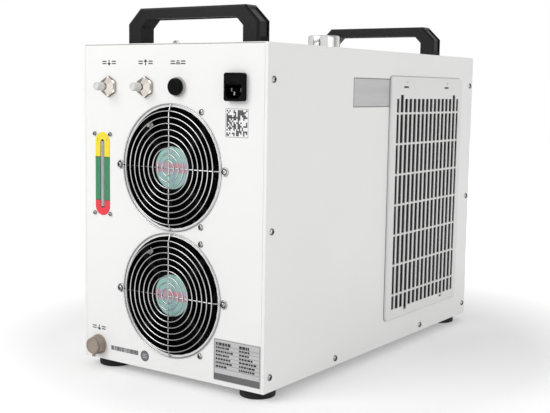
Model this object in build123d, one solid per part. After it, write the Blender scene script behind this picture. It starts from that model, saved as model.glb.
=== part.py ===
from build123d import *
import math
import os

# A compact recirculating chiller. Lengths are in millimetres, angles in degrees.
# X runs across the width, +Y points out of the back, where the water fittings are, and Z is up.
# Heights named "height" or "low" are measured from the casing's underside, setbacks from its back face.

# Casing
casing_width = 290.0
casing_depth = 556.0
sheet = 1.2              # painted sheet steel
fold_radius = 3.0        # outer radius of the cover's top folds
cover_return = 4.0       # hem of the cover's sides beside the end panels
seam = 0.3               # gap round each end panel
panel_flange = 18.0      # folded side edges of the end panels
pan_flange = 22.0        # height of the base pan's upturned edges
seat_gap = 0.3           # gap between pieces that move against each other
overcut = 1.0            # how far a cutting solid runs past the face it cuts
small_sides = 16         # flats round small round pieces, and those that aren't seen
large_sides = 36         # flats round the fans' barrels and other large ones

# Feet
foot_height = 12.0
foot_radius = 21.8
foot_inset = 29.0

# Carrying handles
handle_span = 207.0
handle_rise = 46.0
handle_depth = 25.0
handle_leg = 22.5
handle_bar = 14.0
handle_slope_x = 20.0
handle_slope_z = 19.2
handle_inner_slope = 10.6
handle_bevel = 2.6
handle_rim = 1.6         # rim left on each side of the end channels, and their depth
handle_cap_height = 8.5
handle_cap_inset = 0.3
grip_length = 136.0
grip_depth = 8.0
grip_wall = 3.0
handle_rear_setback = 38.0
handle_front_setback = 31.5

# Fans
fan_foot = 23.6          # room below the lower fan
fan_gap = 7.6            # between the two fans
fan_headroom = 74.8      # from the upper fan to the casing's top
fan_to_gauge = 114.2
fan_hole_radius = 74.0
fan_bore_radius = 72.8
fan_wall = 2.3
fan_round_radius = 86.0
fan_height = 150.0
fan_depth = 50.0
fan_flange = 4.0
fan_can_radius = 30.0
fan_can_depth = 14.0
fan_can_setback = 2.0
fan_strut_width = 8.0
fan_strut_depth = 6.0
fan_strut_setback = 4.0
terminal_width = 11.0
terminal_height = 8.0
terminal_depth = 5.0
terminal_angle = 50.0    # turned up from the horizontal, towards +X
rotor_hub_radius = 30.0
rotor_hub_depth = 30.0
rotor_gap = 1.0
rotor_shaft_radius = 3.0
rotor_shaft_length = 9.0
shaft_play = 0.05
blade_count = 5
blade_chord = 44.0
blade_angle = 35.0
blade_thickness = 2.0
blade_camber = 4.0
blade_tip_gap = 1.5
blade_root_sink = 2.0

# Fan guards: square-section wire, the small rings drawn with fewer flats than the large ones
wire = 1.8
guard_ring_first = 9.3
guard_ring_pitch = 7.45
guard_ring_count = 9
guard_outer_radius = 77.2
guard_rise = 7.0
guard_ear_reach = 82.5
guard_ear_size = 8.0

# Side grilles
grille_length = 225.0
grille_height = 339.0
grille_low = 34.0
grille_setback = 398.5   # to its middle
grille_depth = 4.0
grille_corner = 6.0
grille_bevel = 1.6
grille_border = 9.0
slat_thickness = 1.2
slot_count = 16
slot_margin = 10.1       # from the grille's ends to the first and last slot pitch
slot_width = 9.0
slot_end_cut = 2.0       # the first and last slots are narrower on their outer side
slot_sill = 14.5         # from the grille's lower edge to the slots
slot_header = 30.7       # and from its upper edge
slot_reach_up = 5.5      # of the second slots from each end
slot_reach_down = 5.5    # of the fourth slots from each end
rib_count = 7
rib_margin = 20.0        # from the slots' ends to the first and last rib
rib_height = 3.0
rib_thickness = 1.0
rib_gap = 0.2            # behind the slats
clip_width = 14.0
clip_height = 2.8
clip_spread = 128.0
clip_shift = 8.0         # of both, toward the back
clip_drop = 14.5
hook_width = 12.0
hook_reach = 3.0
hook_height = 2.0
hook_clearance = 0.6
filter_thickness = 1.0
filter_setback = 0.3
vent_margin = 12.5       # the cover's opening lies this far inside the grille's ends
vent_sill = 11.0
vent_header = 19.0

# Water fittings
inlet_inset = 45.5       # insets are measured from the casing's nearer side
outlet_inset = 106.7
fitting_drop = 52.8      # drops are measured from the casing's top
fitting_hex = 22.9       # across flats
fitting_hex_depth = 4.0
fitting_cone_base = 20.6
fitting_cone_tip = 8.8
fitting_cone_depth = 5.0
fitting_cone_land = 0.4
fitting_neck_radius = 3.25
fitting_reach = 20.0
fitting_bore = 2.0
fitting_stub_radius = 8.0
fitting_stub_depth = 16.0
dust_cap_radius = 4.75
dust_cap_length = 13.0
dust_cap_reach = 24.0
dust_cap_end = 2.0

# Alarm socket
alarm_spacing = 51.7     # from the outlet
alarm_drop = 52.0
alarm_ring_radius = 12.0
alarm_ring_depth = 2.5
alarm_barrel_radius = 8.0
alarm_barrel_reach = 5.5
alarm_body_depth = 14.0
alarm_cap_radius = 10.3
alarm_cap_reach = 8.0
alarm_cap_sides = 12
alarm_cap_bevel = 0.9

# Mains inlet
mains_inset = 43.1
mains_drop = 51.2
mains_width = 27.3
mains_tall = 32.5
mains_proud = 7.5
mains_corner = 3.0
mains_body_inset = 1.6
mains_body_depth = 24.0
socket_width = 22.6
socket_tall = 16.2
socket_low = 2.8         # above the inlet's lower edge
socket_depth = 17.0
socket_cut = 4.5
drawer_tall = 10.3
drawer_above_socket = 1.2
drawer_depth = 26.0
drawer_wall = 1.5
drawer_front = 3.0
drawer_notch = 8.0
drawer_notch_depth = 1.2
pin_width = 2.0
pin_tall = 4.0
pin_pitch = 7.0
pin_offset = 2.0
line_pin_setback = 6.5
earth_pin_setback = 2.5
pin_tail = 8.0
fuse_radius = 2.5
fuse_length = 18.0

# Level gauge
gauge_inset = 33.8
gauge_low = 189.1
gauge_height = 106.4
gauge_width = 24.5
gauge_thickness = 0.8
gauge_slot_width = 7.2
gauge_slot_height = 88.0
sight_radius = 3.1
sight_setback = 1.5
sight_end_gap = 2.2

# Drain
drain_inset = 26.0
drain_height = 18.5
drain_flange_radius = 13.0
drain_flange_depth = 2.5
drain_hex = 22.0
drain_hex_depth = 7.5
drain_bore = 7.0
drain_bore_depth = 16.0
drain_stub_radius = 8.6
drain_stub_depth = 16.0
drain_cap_radius = 10.4
drain_cap_depth = 3.6
drain_plug_depth = 4.0
drain_tab_width = 3.0
drain_tab_thickness = 2.5
drain_tab_x = 9.3
drain_tab_low = 0.5

# Filler and vent
filler_inset = 62.0
filler_setback = 215.0
neck_radius = 15.0
neck_bore = 12.0
neck_rise = 13.0
cap_radius = 21.8
cap_rise = 18.0
vent_plug_inset = 87.3
vent_plug_setback = 80.0
vent_plug_radius = 5.8
vent_plug_rise = 8.2

# Front controls
control_x = 45.0
control_drop = 54.0
bezel_width = 84.0
bezel_tall = 40.0
bezel_proud = 3.0
bezel_corner = 3.0
case_width = 72.0
case_tall = 29.0
case_depth = 58.0
window_width = 40.0
window_tall = 20.0
window_depth = 1.6
window_recess = 0.3
window_shift = 16.0
button_width = 9.0
button_tall = 7.0
button_columns = 2
button_rows = 2
button_pitch_x = 13.0
button_pitch_z = 12.0
button_shift = 24.0
button_proud = 1.2
button_travel = 0.8
button_length = 2.2      # behind the bezel's face
switch_x = -70.0
switch_drop = 54.0
switch_width = 21.0
switch_tall = 28.0
switch_proud = 2.0
switch_body_depth = 20.0
switch_rim = 2.4
switch_wall = 1.2
switch_well = 8.0
rocker_lift = 2.6        # of the rocker's middle above the panel
rocker_lip = 1.2
rocker_root = 3.0
rocker_angle = 10.0      # each side of level

# Tank, its stand and what it holds
tank_side_gap = 2.8      # between the tank and each condenser
tank_length = 200.0
tank_headroom = 26.0     # above it, to the casing's top
tank_wall = 3.0
tank_setback = 185.0
tank_low = 190.0
lid_thickness = 3.0
lid_overhang = 1.0
stand_sheet = 2.0
stand_foot = 12.0
stand_post = 18.0
stand_sill = 25.0
stand_header = 30.0
evaporator_gap = 5.8     # to the pump
evaporator_margin = 49.0 # it is this much narrower than half the tank
evaporator_length = 120.0
evaporator_height = 130.0
evaporator_sheet = 2.0
channel_count = 4
channel_pitch = 28.0
channel_height = 10.0
channel_proud = 2.5
pump_width = 50.0
pump_length = 60.0
pump_height = 58.0
pump_intake = 14.0
duct_width = 16.0
duct_depth = 12.0

# Refrigeration
compressor_setback = 400.0
compressor_radius = 58.0
compressor_height = 160.0
compressor_plate = 3.0
compressor_plate_width = 150.0
compressor_plate_length = 120.0
mount_size = 18.0
mount_height = 9.0
mount_inset = 14.0
condenser_thickness = 26.0
condenser_length = 214.0
condenser_low = 26.0
condenser_drop = 54.0
condenser_gap = 6.0      # from the cover's side
fin_count = 8
fin_pitch = 26.0
fin_groove = 14.0
fin_groove_depth = 6.0
fin_margin = 6.0
end_plate = 1.5
pipe_radius = 4.0
drier_radius = 9.5
drier_length = 74.0
drier_inset = 49.0       # from the tank's side
drier_setback = 300.0
liquid_height = 60.0
discharge_height = 100.0
suction_height = 130.0
suction_inset = 24.0
suction_setback = 372.0
cross_setback = 480.0

# Hoses and the electrical box
hose_radius = 6.5
gauge_hose_radius = 3.0
gauge_hose_inset = 6.0   # from the tank's side
drain_run_setback = 130.0
drain_rise_setback = 160.0
drain_port_inset = 11.0
drain_port_height = 204.0
box_width = 46.0
box_length = 128.0
box_height = 110.0
box_setback = 54.0
box_wall = 2.5
box_lid = 3.0
box_gap = 1.0

# The rocker switch stands out furthest at the front, the dust caps at the back.
rocker_half = switch_tall / 2 - switch_rim - switch_wall - 2 * seat_gap
rocker_rise = rocker_half * math.tan(math.radians(rocker_angle))
rocker_reach = (rocker_lift + rocker_rise) * math.cos(math.radians(rocker_angle))
rocker_reach += rocker_half * math.sin(math.radians(rocker_angle))

# Places worked out from the sizes
rear = (casing_depth + rocker_reach - dust_cap_reach) / 2
front = rear - casing_depth
base = foot_height
fan_pitch = fan_height + fan_gap
casing_height = fan_foot + fan_pitch + fan_height + fan_headroom
top = base + casing_height
half_width = casing_width / 2
inlet_x = half_width - inlet_inset
outlet_x = half_width - outlet_inset
gauge_x = half_width - gauge_inset
drain_x = half_width - drain_inset
vent_plug_x = half_width - vent_plug_inset
alarm_x = outlet_x - alarm_spacing
mains_x = mains_inset - half_width
filler_x = filler_inset - half_width
inner_back = rear - sheet
inner_front = front + sheet
inner_side = half_width - sheet
pan_top = base + sheet
cover_under = top - sheet
panel_half = half_width - cover_return - seam
panel_top = cover_under - seam
fan_x = gauge_x - fan_to_gauge
lower_fan = base + fan_foot + fan_height / 2
fan_heights = {"lower": lower_fan, "upper": lower_fan + fan_pitch}
handle_faces = {"rear": rear - handle_rear_setback, "front": front + handle_front_setback + handle_depth}
fitting_z = top - fitting_drop
alarm_z = top - alarm_drop
mains_z = top - mains_drop
switch_z = top - switch_drop
control_z = top - control_drop
gauge_middle = base + gauge_low + gauge_height / 2
gauge_reach = gauge_slot_height / 2 - sight_end_gap
grille_y = rear - grille_setback
grille_base = base + grille_low
grille_middle = grille_base + grille_height / 2
grille_seat = half_width + seat_gap
vent_base = grille_base + vent_sill
vent_top = grille_base + grille_height - vent_header
slot_base = grille_base + slot_sill
slot_top = grille_base + grille_height - slot_header
slot_pitch = (grille_length - 2 * slot_margin) / slot_count
rib_pitch = (slot_top - slot_base - 2 * rib_margin) / (rib_count - 1)
slat_back = grille_seat + grille_depth - slat_thickness
tank_back = rear - tank_setback
tank_front = tank_back - tank_length
tank_base = base + tank_low
tank_top = top - tank_headroom
condenser_back = inner_side - condenser_gap - condenser_thickness
tank_half = condenser_back - tank_side_gap
evaporator_width = tank_half - evaporator_margin
evaporator_x = outlet_x - pump_width / 2 - evaporator_gap - channel_proud - evaporator_width / 2
drier_x = drier_inset - tank_half
suction_x = suction_inset - tank_half
gauge_hose_x = tank_half - gauge_hose_inset
drain_port_x = tank_half - drain_port_inset


def block(x0, x1, y0, y1, z0, z1):
    return Pos((x0 + x1) / 2, (y0 + y1) / 2, (z0 + z1) / 2) * Box(abs(x1 - x0), abs(y1 - y0), abs(z1 - z0))


def centred_block(x, y, z, width, length, height):
    return Pos(x, y, z) * Box(width, length, height)


def rod_z(radius, x, y, z0, z1):
    return Pos(x, y, (z0 + z1) / 2) * Cylinder(radius, abs(z1 - z0))


def plate_y(sketch, y_high, y_low):
    # A sketch drawn in x and z, made solid from y_high down to y_low.
    plane = Plane(origin=(0, y_high, 0), x_dir=(1, 0, 0), z_dir=(0, -1, 0))
    return extrude(plane * sketch, amount=y_high - y_low)


def plate_x(sketch, x_low, x_high):
    # A sketch drawn in y and z, made solid from x_low to x_high.
    plane = Plane(origin=(x_low, 0, 0), x_dir=(0, 1, 0), z_dir=(1, 0, 0))
    return extrude(plane * sketch, amount=x_high - x_low)


def many_flats(radius, sides):
    return RegularPolygon(radius, sides, rotation=180 / sides)


def strip_outline(height, width):
    # An upright strip with round ends.
    end = (height - width) / 2
    strip = Rectangle(width, 2 * end)
    for side in (-1, 1):
        strip += Pos(0, side * end) * RegularPolygon(width / 2, small_sides)
    return strip


def flat_rod_y(radius, x, y0, y1, z, sides=small_sides):
    return plate_y(Pos(x, z) * many_flats(radius, sides), max(y0, y1), min(y0, y1))


def flat_rod_z(radius, x, y, z0, z1, sides=small_sides):
    return Pos(x, y, z0) * extrude(many_flats(radius, sides), amount=z1 - z0)


def hexagon(flats):
    return RegularPolygon(flats / 2, 6, major_radius=False, rotation=30)


def pipe(radius, *points):
    # Straight runs with mitred corners and eight flats round.
    path = Polyline(*points)
    start = Plane(origin=path @ 0, z_dir=path % 0)
    return sweep(start * RegularPolygon(radius, 8), path=path, transition=Transition.RIGHT)


def mirrored(solid):
    return mirror(solid, about=Plane.YZ)


def group(solids):
    return Compound(children=list(solids))


# Base pan, cover and end panels

def make_base_pan():
    half = inner_side
    high = base + pan_flange
    pan = block(-half, half, inner_front, inner_back, base, pan_top)
    for side in (-1, 1):
        pan += block(side * half, side * (half - sheet), inner_front, inner_back, base, high)
    # The end edges stop short of the folded edges of the end panels.
    end = panel_half - sheet - seam
    for y in (inner_front, inner_back - sheet):
        pan += block(-end, end, y, y + sheet, base, high)
    notch_end = inner_back - 2 * sheet
    notch = flat_rod_y(drain_stub_radius + 2 * seam, drain_x, rear, notch_end, base + drain_height)
    return pan - notch


def make_cover():
    half = half_width
    outer = Pos(0, (base + top) / 2) * Rectangle(casing_width, casing_height)
    outer = fillet(outer.vertices().group_by(Axis.Y)[-1], fold_radius)
    inner = Pos(0, (base + cover_under) / 2) * Rectangle(casing_width - 2 * sheet, casing_height - sheet)
    inner = fillet(inner.vertices().group_by(Axis.Y)[-1], fold_radius - sheet)
    cover = plate_y(outer - inner, rear, front)
    vent = (4 * sheet, grille_length - 2 * vent_margin, vent_top - vent_base)
    for side in (-1, 1):
        hem = block(side * (half - cover_return), side * (half - sheet / 2), 0, sheet, base, cover_under)
        cover += Pos(0, inner_back, 0) * hem + Pos(0, front, 0) * hem
        cover -= centred_block(side * half, grille_y, (vent_base + vent_top) / 2, *vent)
    y = rear - filler_setback
    cover -= flat_rod_z(neck_radius + 2 * seam, filler_x, y, cover_under - overcut, top + overcut)
    return cover


def end_panel():
    return Pos(0, (base + panel_top) / 2) * Rectangle(2 * panel_half, panel_top - base)


def panel_edges(y0, y1):
    low = base + pan_flange + seam
    left = block(-panel_half, -panel_half + sheet, y0, y1, low, panel_top)
    return left + mirrored(left)


def make_rear_panel():
    outline = end_panel()
    for height in fan_heights.values():
        outline -= Pos(fan_x, height) * many_flats(fan_hole_radius, large_sides)
    for x in (inlet_x, outlet_x):
        outline -= Pos(x, fitting_z) * many_flats(fitting_stub_radius + 2 * seam, small_sides)
    outline -= Pos(alarm_x, alarm_z) * many_flats(alarm_barrel_radius + 2 * seam, small_sides)
    hole = (mains_width - 2 * mains_body_inset + 2 * seam, mains_tall - 2 * mains_body_inset + 2 * seam)
    outline -= Pos(mains_x, mains_z) * Rectangle(*hole)
    outline -= Pos(gauge_x, gauge_middle) * strip_outline(gauge_slot_height, gauge_slot_width)
    outline -= Pos(drain_x, base + drain_height) * many_flats(drain_stub_radius + 2 * seam, small_sides)
    return plate_y(outline, rear, inner_back) + panel_edges(inner_back - panel_flange, rear)


def make_front_panel():
    outline = end_panel()
    outline -= Pos(control_x, control_z) * Rectangle(case_width + 2 * seam, case_tall + 2 * seam)
    hole = (switch_width - 2 * switch_rim + 2 * seam, switch_tall - 2 * switch_rim + 2 * seam)
    outline -= Pos(switch_x, switch_z) * Rectangle(*hole)
    return plate_y(outline, inner_front, front) + panel_edges(front, inner_front + panel_flange)


def make_feet():
    x = half_width - foot_inset
    rows = (front + foot_inset, rear - foot_inset)
    return group(rod_z(foot_radius, side * x, y, 0, base) for side in (-1, 1) for y in rows)


# Handles

def handle_outline():
    half = handle_span / 2
    shoulder = handle_rise - handle_slope_z
    crown = half - handle_slope_x
    inner = half - handle_leg
    under = handle_rise - handle_bar
    right = [
        (inner - handle_inner_slope, under),
        (inner, under - handle_inner_slope),
        (inner, 0),
        (half, 0),
        (half, shoulder),
        (crown, handle_rise),
    ]
    left = [(-x, z) for x, z in reversed(right)]
    return make_face(Polyline(*right, *left, close=True))


def make_handle(rear_face):
    front_face = rear_face - handle_depth
    middle = (rear_face + front_face) / 2
    outline = Pos(0, top) * handle_outline()
    handle = plate_y(outline, rear_face, front_face)
    crown = handle_span / 2 - handle_slope_x
    outer = [
        edge
        for edge in handle.edges()
        if abs(abs(edge.center().Y - middle) - handle_depth / 2) < seam
        and top + seam < edge.center().Z
        and (abs(edge.center().X) > crown or edge.center().Z > top + handle_rise - seam)
    ]
    handle = chamfer(outer, handle_bevel)
    # A channel down each end, between two rims, that runs on over the slope.
    channel = outline - offset(outline, amount=-handle_rim, kind=Kind.INTERSECTION)
    channel_half = handle_depth / 2 - handle_bevel - handle_rim
    channel = plate_y(channel, middle + channel_half, middle - channel_half)
    reach = handle_span / 2
    for side in (-1, 1):
        inner, outer = side * (crown + handle_bevel), side * (reach + overcut)
        end = block(inner, outer, front_face, rear_face, top, top + handle_rise)
        foot = block(inner, side * (reach - handle_rim), front_face, rear_face, top, top + 2 * handle_rim)
        handle -= (channel & end) - foot
    # The bar is hollow underneath.
    under = top + handle_rise - handle_bar
    half = handle_depth / 2 - grip_wall
    grip = block(-grip_length / 2, grip_length / 2, -half, half, -overcut, grip_depth)
    return handle - Pos(0, middle, under) * grip


def make_handle_caps():
    half = handle_depth / 2 - handle_bevel - handle_rim
    outer = handle_span / 2 - handle_cap_inset
    caps = []
    for rear_face in handle_faces.values():
        middle = rear_face - handle_depth / 2
        inner = handle_span / 2 - handle_rim
        cap = block(inner, outer, middle - half, middle + half, top, top + handle_cap_height)
        caps += [cap, mirrored(cap)]
    return group(caps)


# Side grilles and dust filters, built for the +X side

def slot_sketch():
    slots = Sketch()
    for column in range(slot_count):
        y = grille_y + (column - (slot_count - 1) / 2) * slot_pitch
        from_end = min(column, slot_count - 1 - column)
        high = slot_top + (slot_reach_up if from_end == 1 else 0)
        low = slot_base - (slot_reach_down if from_end == 3 else 0)
        cut = slot_end_cut if from_end == 0 else 0
        inward = cut / 2 if column == 0 else -cut / 2
        slots += Pos(y + inward, (low + high) / 2) * Rectangle(slot_width - cut, high - low)
    return slots


def make_side_grille():
    outline = Pos(grille_y, grille_middle) * RectangleRounded(grille_length, grille_height, grille_corner)
    face = grille_seat + grille_depth
    grille = plate_x(outline, grille_seat, face)
    grille = chamfer(grille.edges().group_by(Axis.X)[-1], grille_bevel)
    inner_length = grille_length - 2 * grille_border
    pocket = Pos(grille_y, grille_middle) * Rectangle(inner_length, grille_height - 2 * grille_border)
    grille -= plate_x(pocket, grille_seat, slat_back)
    grille -= plate_x(slot_sketch(), slat_back - overcut, face + overcut)
    clip_z = grille_base + grille_height - clip_drop
    hook_low = vent_base + hook_clearance
    hook_high = vent_top - hook_clearance - hook_height
    for side in (-0.5, 0.5):
        y = grille_y + clip_shift + side * clip_spread
        window = Pos(y, clip_z) * Rectangle(clip_width, clip_height)
        grille -= plate_x(window, slat_back - overcut, face + overcut)
        # Hooks that reach into the cover's opening below each clip and at the foot.
        for low in (hook_low, hook_high):
            hook = Pos(y, low + hook_height / 2) * Rectangle(hook_width, hook_height)
            grille += plate_x(hook, grille_seat - hook_reach, slat_back + slat_thickness / 2)
    # The cross ribs run just behind the slats, from side to side of the frame.
    rib_face = slat_back - rib_gap
    for i in range(rib_count):
        z = slot_base + rib_margin + i * rib_pitch
        rib = Pos(grille_y, z) * Rectangle(inner_length + seam, rib_height)
        grille += plate_x(rib, rib_face - rib_thickness, rib_face)
    return grille


def make_dust_filter():
    x = grille_seat + filter_setback
    half = grille_length / 2 - grille_border - seam
    low = vent_base + hook_clearance + hook_height + seam
    high = vent_top - hook_clearance - hook_height - seam
    return block(x, x + filter_thickness, grille_y - half, grille_y + half, low, high)


# Fans

def make_fan_frame(height):
    bore = many_flats(fan_bore_radius, large_sides)
    outline = many_flats(fan_round_radius, large_sides) & Rectangle(2 * fan_round_radius, fan_height)
    flange = Pos(fan_x, height) * (outline - bore)
    barrel = Pos(fan_x, height) * (many_flats(fan_bore_radius + fan_wall, large_sides) - bore)
    inner_end = inner_back - fan_depth
    frame = plate_y(barrel, inner_back, inner_end)
    frame += plate_y(flange, inner_back, inner_back - fan_flange)
    frame += plate_y(flange, inner_end + fan_flange, inner_end)
    can_back = rear - fan_can_setback
    can_front = can_back - fan_can_depth
    span = 2 * (fan_bore_radius + fan_wall / 2)
    struts = Rectangle(span, fan_strut_width) + Rectangle(fan_strut_width, span)
    struts = Pos(fan_x, height) * Rot(0, 0, 45) * struts
    strut_back = rear - fan_strut_setback
    frame += plate_y(struts, strut_back, strut_back - fan_strut_depth)
    frame += flat_rod_y(fan_can_radius, fan_x, can_back, can_front, height, large_sides)
    # The terminal block stands on the barrel's wall.
    reach = fan_bore_radius - terminal_height / 2 + fan_wall / 2
    terminal = Box(terminal_height, terminal_depth, terminal_width)
    terminal = Pos(reach, strut_back - terminal_depth / 2, 0) * terminal
    frame += Pos(fan_x, 0, height) * Rot(0, -terminal_angle, 0) * terminal
    bore_end = can_front + rotor_shaft_length
    frame -= flat_rod_y(rotor_shaft_radius + shaft_play, fan_x, bore_end, can_front - overcut, height)
    return frame


def make_fan_rotor(height):
    # The hub's back face is the local y = 0. Each blade is a sheet bent along its middle.
    half = blade_chord / 2
    t = blade_thickness / 2
    bend = blade_camber
    outline = [(-half, -t), (0, bend - t), (half, -t), (half, t), (0, bend + t), (-half, t)]
    section = make_face(Polyline(*outline, close=True))
    root = rotor_hub_radius - blade_root_sink
    tip = fan_bore_radius - blade_tip_gap
    plane = Plane(origin=(root, -rotor_hub_depth / 2, 0), x_dir=(0, 0, 1), z_dir=(1, 0, 0))
    blade = extrude(plane * Rot(0, 0, blade_angle) * section, amount=tip + blade_camber - root)
    blade &= flat_rod_y(tip, 0, 0, -rotor_hub_depth, 0, large_sides)
    rotor = flat_rod_y(rotor_hub_radius, 0, 0, -rotor_hub_depth, 0, large_sides)
    for i in range(blade_count):
        rotor += Rot(0, i * 360 / blade_count, 0) * blade
    rotor += flat_rod_y(rotor_shaft_radius, 0, rotor_shaft_length, -rotor_gap, 0)
    hub_back = rear - fan_can_setback - fan_can_depth - rotor_gap
    return Pos(fan_x, hub_back, height) * rotor


def wire_ring(radius, y_high):
    flats = 4 * (3 + int(radius / 30))
    start = 180 / flats
    ring = RegularPolygon(radius + wire / 2, flats, rotation=start)
    ring -= RegularPolygon(radius - wire / 2, flats, rotation=start)
    return plate_y(ring, y_high, y_high - wire)


def make_fan_guard(height):
    # Rings spot-welded on two crossed wires, whose ends bend down to the outer ring on the panel.
    spoke_high = guard_rise - wire
    last = guard_ring_first + (guard_ring_count - 1) * guard_ring_pitch
    end = guard_outer_radius - wire / 2
    spoke = [
        (-end, 0),
        (-end, wire),
        (-last, spoke_high),
        (last, spoke_high),
        (end, wire),
        (end, 0),
        (end - wire, 0),
        (last - wire, spoke_high - wire),
        (-last + wire, spoke_high - wire),
        (-end + wire, 0),
    ]
    spoke = extrude(make_face(Polyline(*spoke, close=True)), amount=wire / 2, both=True)
    guard = [wire_ring(guard_outer_radius, wire), spoke + Rot(0, 90, 0) * spoke]
    for i in range(guard_ring_count):
        guard.append(wire_ring(guard_ring_first + i * guard_ring_pitch, guard_rise))
    for side in (-1, 1):
        start = guard_outer_radius + wire / 2
        middle = (start + guard_ear_reach + guard_ear_size / 2) / 2
        length = guard_ear_reach + guard_ear_size / 2 - start
        guard.append(centred_block(side * middle, wire / 2, 0, length, wire, guard_ear_size))
    return Pos(fan_x, rear, height) * group(guard)


# Fittings on the back panel

def make_water_fitting(x):
    hex_end = rear + fitting_hex_depth
    cone_end = hex_end + fitting_cone_depth
    fitting = plate_y(Pos(x, fitting_z) * hexagon(fitting_hex), hex_end, rear)
    cone = plate_y(Pos(x, fitting_z) * hexagon(fitting_cone_base), cone_end, hex_end)
    face = cone.faces().sort_by(Axis.Y)[-1]
    inset = (fitting_cone_base - fitting_cone_tip) / 2
    fitting += chamfer(face.edges(), inset, fitting_cone_depth - fitting_cone_land, reference=face)
    fitting += flat_rod_y(fitting_neck_radius, x, cone_end, rear + fitting_reach, fitting_z)
    fitting += flat_rod_y(fitting_stub_radius, x, rear, rear - fitting_stub_depth, fitting_z)
    bore_start = rear - fitting_stub_depth - overcut
    fitting -= flat_rod_y(fitting_bore, x, bore_start, rear + fitting_reach + overcut, fitting_z)
    return fitting


def make_dust_cap(x):
    tip = rear + dust_cap_reach
    mouth = tip - dust_cap_length
    cap = flat_rod_y(dust_cap_radius, x, tip, mouth, fitting_z)
    hole = fitting_neck_radius + seat_gap
    return cap - flat_rod_y(hole, x, tip - dust_cap_end, mouth - overcut, fitting_z)


def make_alarm_socket():
    z = alarm_z
    socket = flat_rod_y(alarm_ring_radius, alarm_x, rear, rear + alarm_ring_depth, z, large_sides)
    barrel_end = rear - alarm_body_depth
    return socket + flat_rod_y(alarm_barrel_radius, alarm_x, barrel_end, rear + alarm_barrel_reach, z)


def make_alarm_cap():
    z = alarm_z
    low = rear + alarm_ring_depth + seat_gap
    cap = flat_rod_y(alarm_cap_radius, alarm_x, rear + alarm_cap_reach, low, z, alarm_cap_sides)
    cap = chamfer(cap.edges().group_by(Axis.Y)[-1], alarm_cap_bevel)
    cavity_end = rear + alarm_barrel_reach + seat_gap
    return cap - flat_rod_y(alarm_barrel_radius + 2 * seat_gap, alarm_x, low - overcut, cavity_end, z)


# Mains inlet with its fuse drawer

mains_face = rear + mains_proud
socket_base = mains_z - mains_tall / 2 + socket_low
socket_middle = socket_base + socket_tall / 2
drawer_base = socket_base + socket_tall + drawer_above_socket
pin_places = [
    (mains_x - pin_pitch, socket_middle + pin_offset, line_pin_setback),
    (mains_x + pin_pitch, socket_middle + pin_offset, line_pin_setback),
    (mains_x, socket_middle - pin_offset, earth_pin_setback),
]


def pin_sketch(x, z):
    return Pos(x, z) * Rectangle(pin_width, pin_tall)


def make_power_inlet():
    middle = (mains_x, mains_z)
    inlet = plate_y(Pos(*middle) * RectangleRounded(mains_width, mains_tall, mains_corner), mains_face, rear)
    body = Rectangle(mains_width - 2 * mains_body_inset, mains_tall - 2 * mains_body_inset)
    inlet += plate_y(Pos(*middle) * body, rear, rear - mains_body_depth)
    drawer_way = Pos(mains_x, drawer_base + drawer_tall / 2) * Rectangle(socket_width, drawer_tall)
    inlet -= plate_y(drawer_way, mains_face + overcut, mains_face - drawer_depth - seat_gap)
    socket = Pos(mains_x, socket_middle) * Rectangle(socket_width, socket_tall)
    socket = chamfer(socket.vertices().group_by(Axis.Y)[0], socket_cut)
    inlet -= plate_y(socket, mains_face + overcut, mains_face - socket_depth)
    for x, z, setback in pin_places:
        start, end = mains_face - socket_depth + overcut, rear - mains_body_depth - overcut
        inlet -= plate_y(pin_sketch(x, z), start, end)
    return inlet


def make_inlet_pins():
    tail = rear - mains_body_depth - pin_tail
    return group(plate_y(pin_sketch(x, z), mains_face - setback, tail) for x, z, setback in pin_places)


def make_fuse_drawer():
    half = socket_width / 2 - seat_gap
    low, high = drawer_base + seat_gap, drawer_base + drawer_tall - seat_gap
    inner_end = mains_face - drawer_depth
    drawer = Pos(mains_x, 0, 0) * block(-half, half, inner_end, mains_face, low, high)
    # The open tray that holds the fuse, and the finger notch in the lower lip.
    tray = half - drawer_wall
    tray_end = mains_face - drawer_front
    inner = block(-tray, tray, inner_end + drawer_wall, tray_end, low + drawer_wall, high + overcut)
    half = drawer_notch / 2
    notch_back = mains_face - drawer_notch_depth
    notch = block(-half, half, notch_back, mains_face + overcut, low - overcut, low + drawer_wall)
    return drawer - Pos(mains_x, 0, 0) * (inner + notch)


def make_fuse():
    z = drawer_base + seat_gap + drawer_wall + fuse_radius
    fuse = extrude(many_flats(fuse_radius, small_sides), amount=fuse_length / 2, both=True)
    return Pos(mains_x, mains_face - drawer_depth / 2, z) * Rot(0, 90, 0) * fuse


def make_level_gauge():
    plate = strip_outline(gauge_height, gauge_width) - strip_outline(gauge_slot_height, gauge_slot_width)
    return plate_y(Pos(gauge_x, gauge_middle) * plate, rear + gauge_thickness, rear)


def make_sight_tube():
    low, high = gauge_middle - gauge_reach, gauge_middle + gauge_reach
    return flat_rod_z(sight_radius, gauge_x, rear - sight_setback, low, high)


def make_drain_body():
    z = base + drain_height
    flange_end = rear + drain_flange_depth
    hex_end = flange_end + drain_hex_depth
    body = flat_rod_y(drain_flange_radius, drain_x, rear, flange_end, z, large_sides)
    body += plate_y(Pos(drain_x, z) * hexagon(drain_hex), hex_end, flange_end)
    body += flat_rod_y(drain_stub_radius, drain_x, rear, rear - drain_stub_depth, z)
    body -= flat_rod_y(drain_bore, drain_x, hex_end + overcut, hex_end - drain_bore_depth, z)
    # The strap tab that hangs beside the hexagon.
    x = drain_x + drain_tab_x
    half = drain_tab_width / 2
    tab_back = hex_end - drain_tab_thickness
    return body + block(x - half, x + half, tab_back, hex_end, base + drain_tab_low, z - drain_tab_x / 2)


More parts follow.
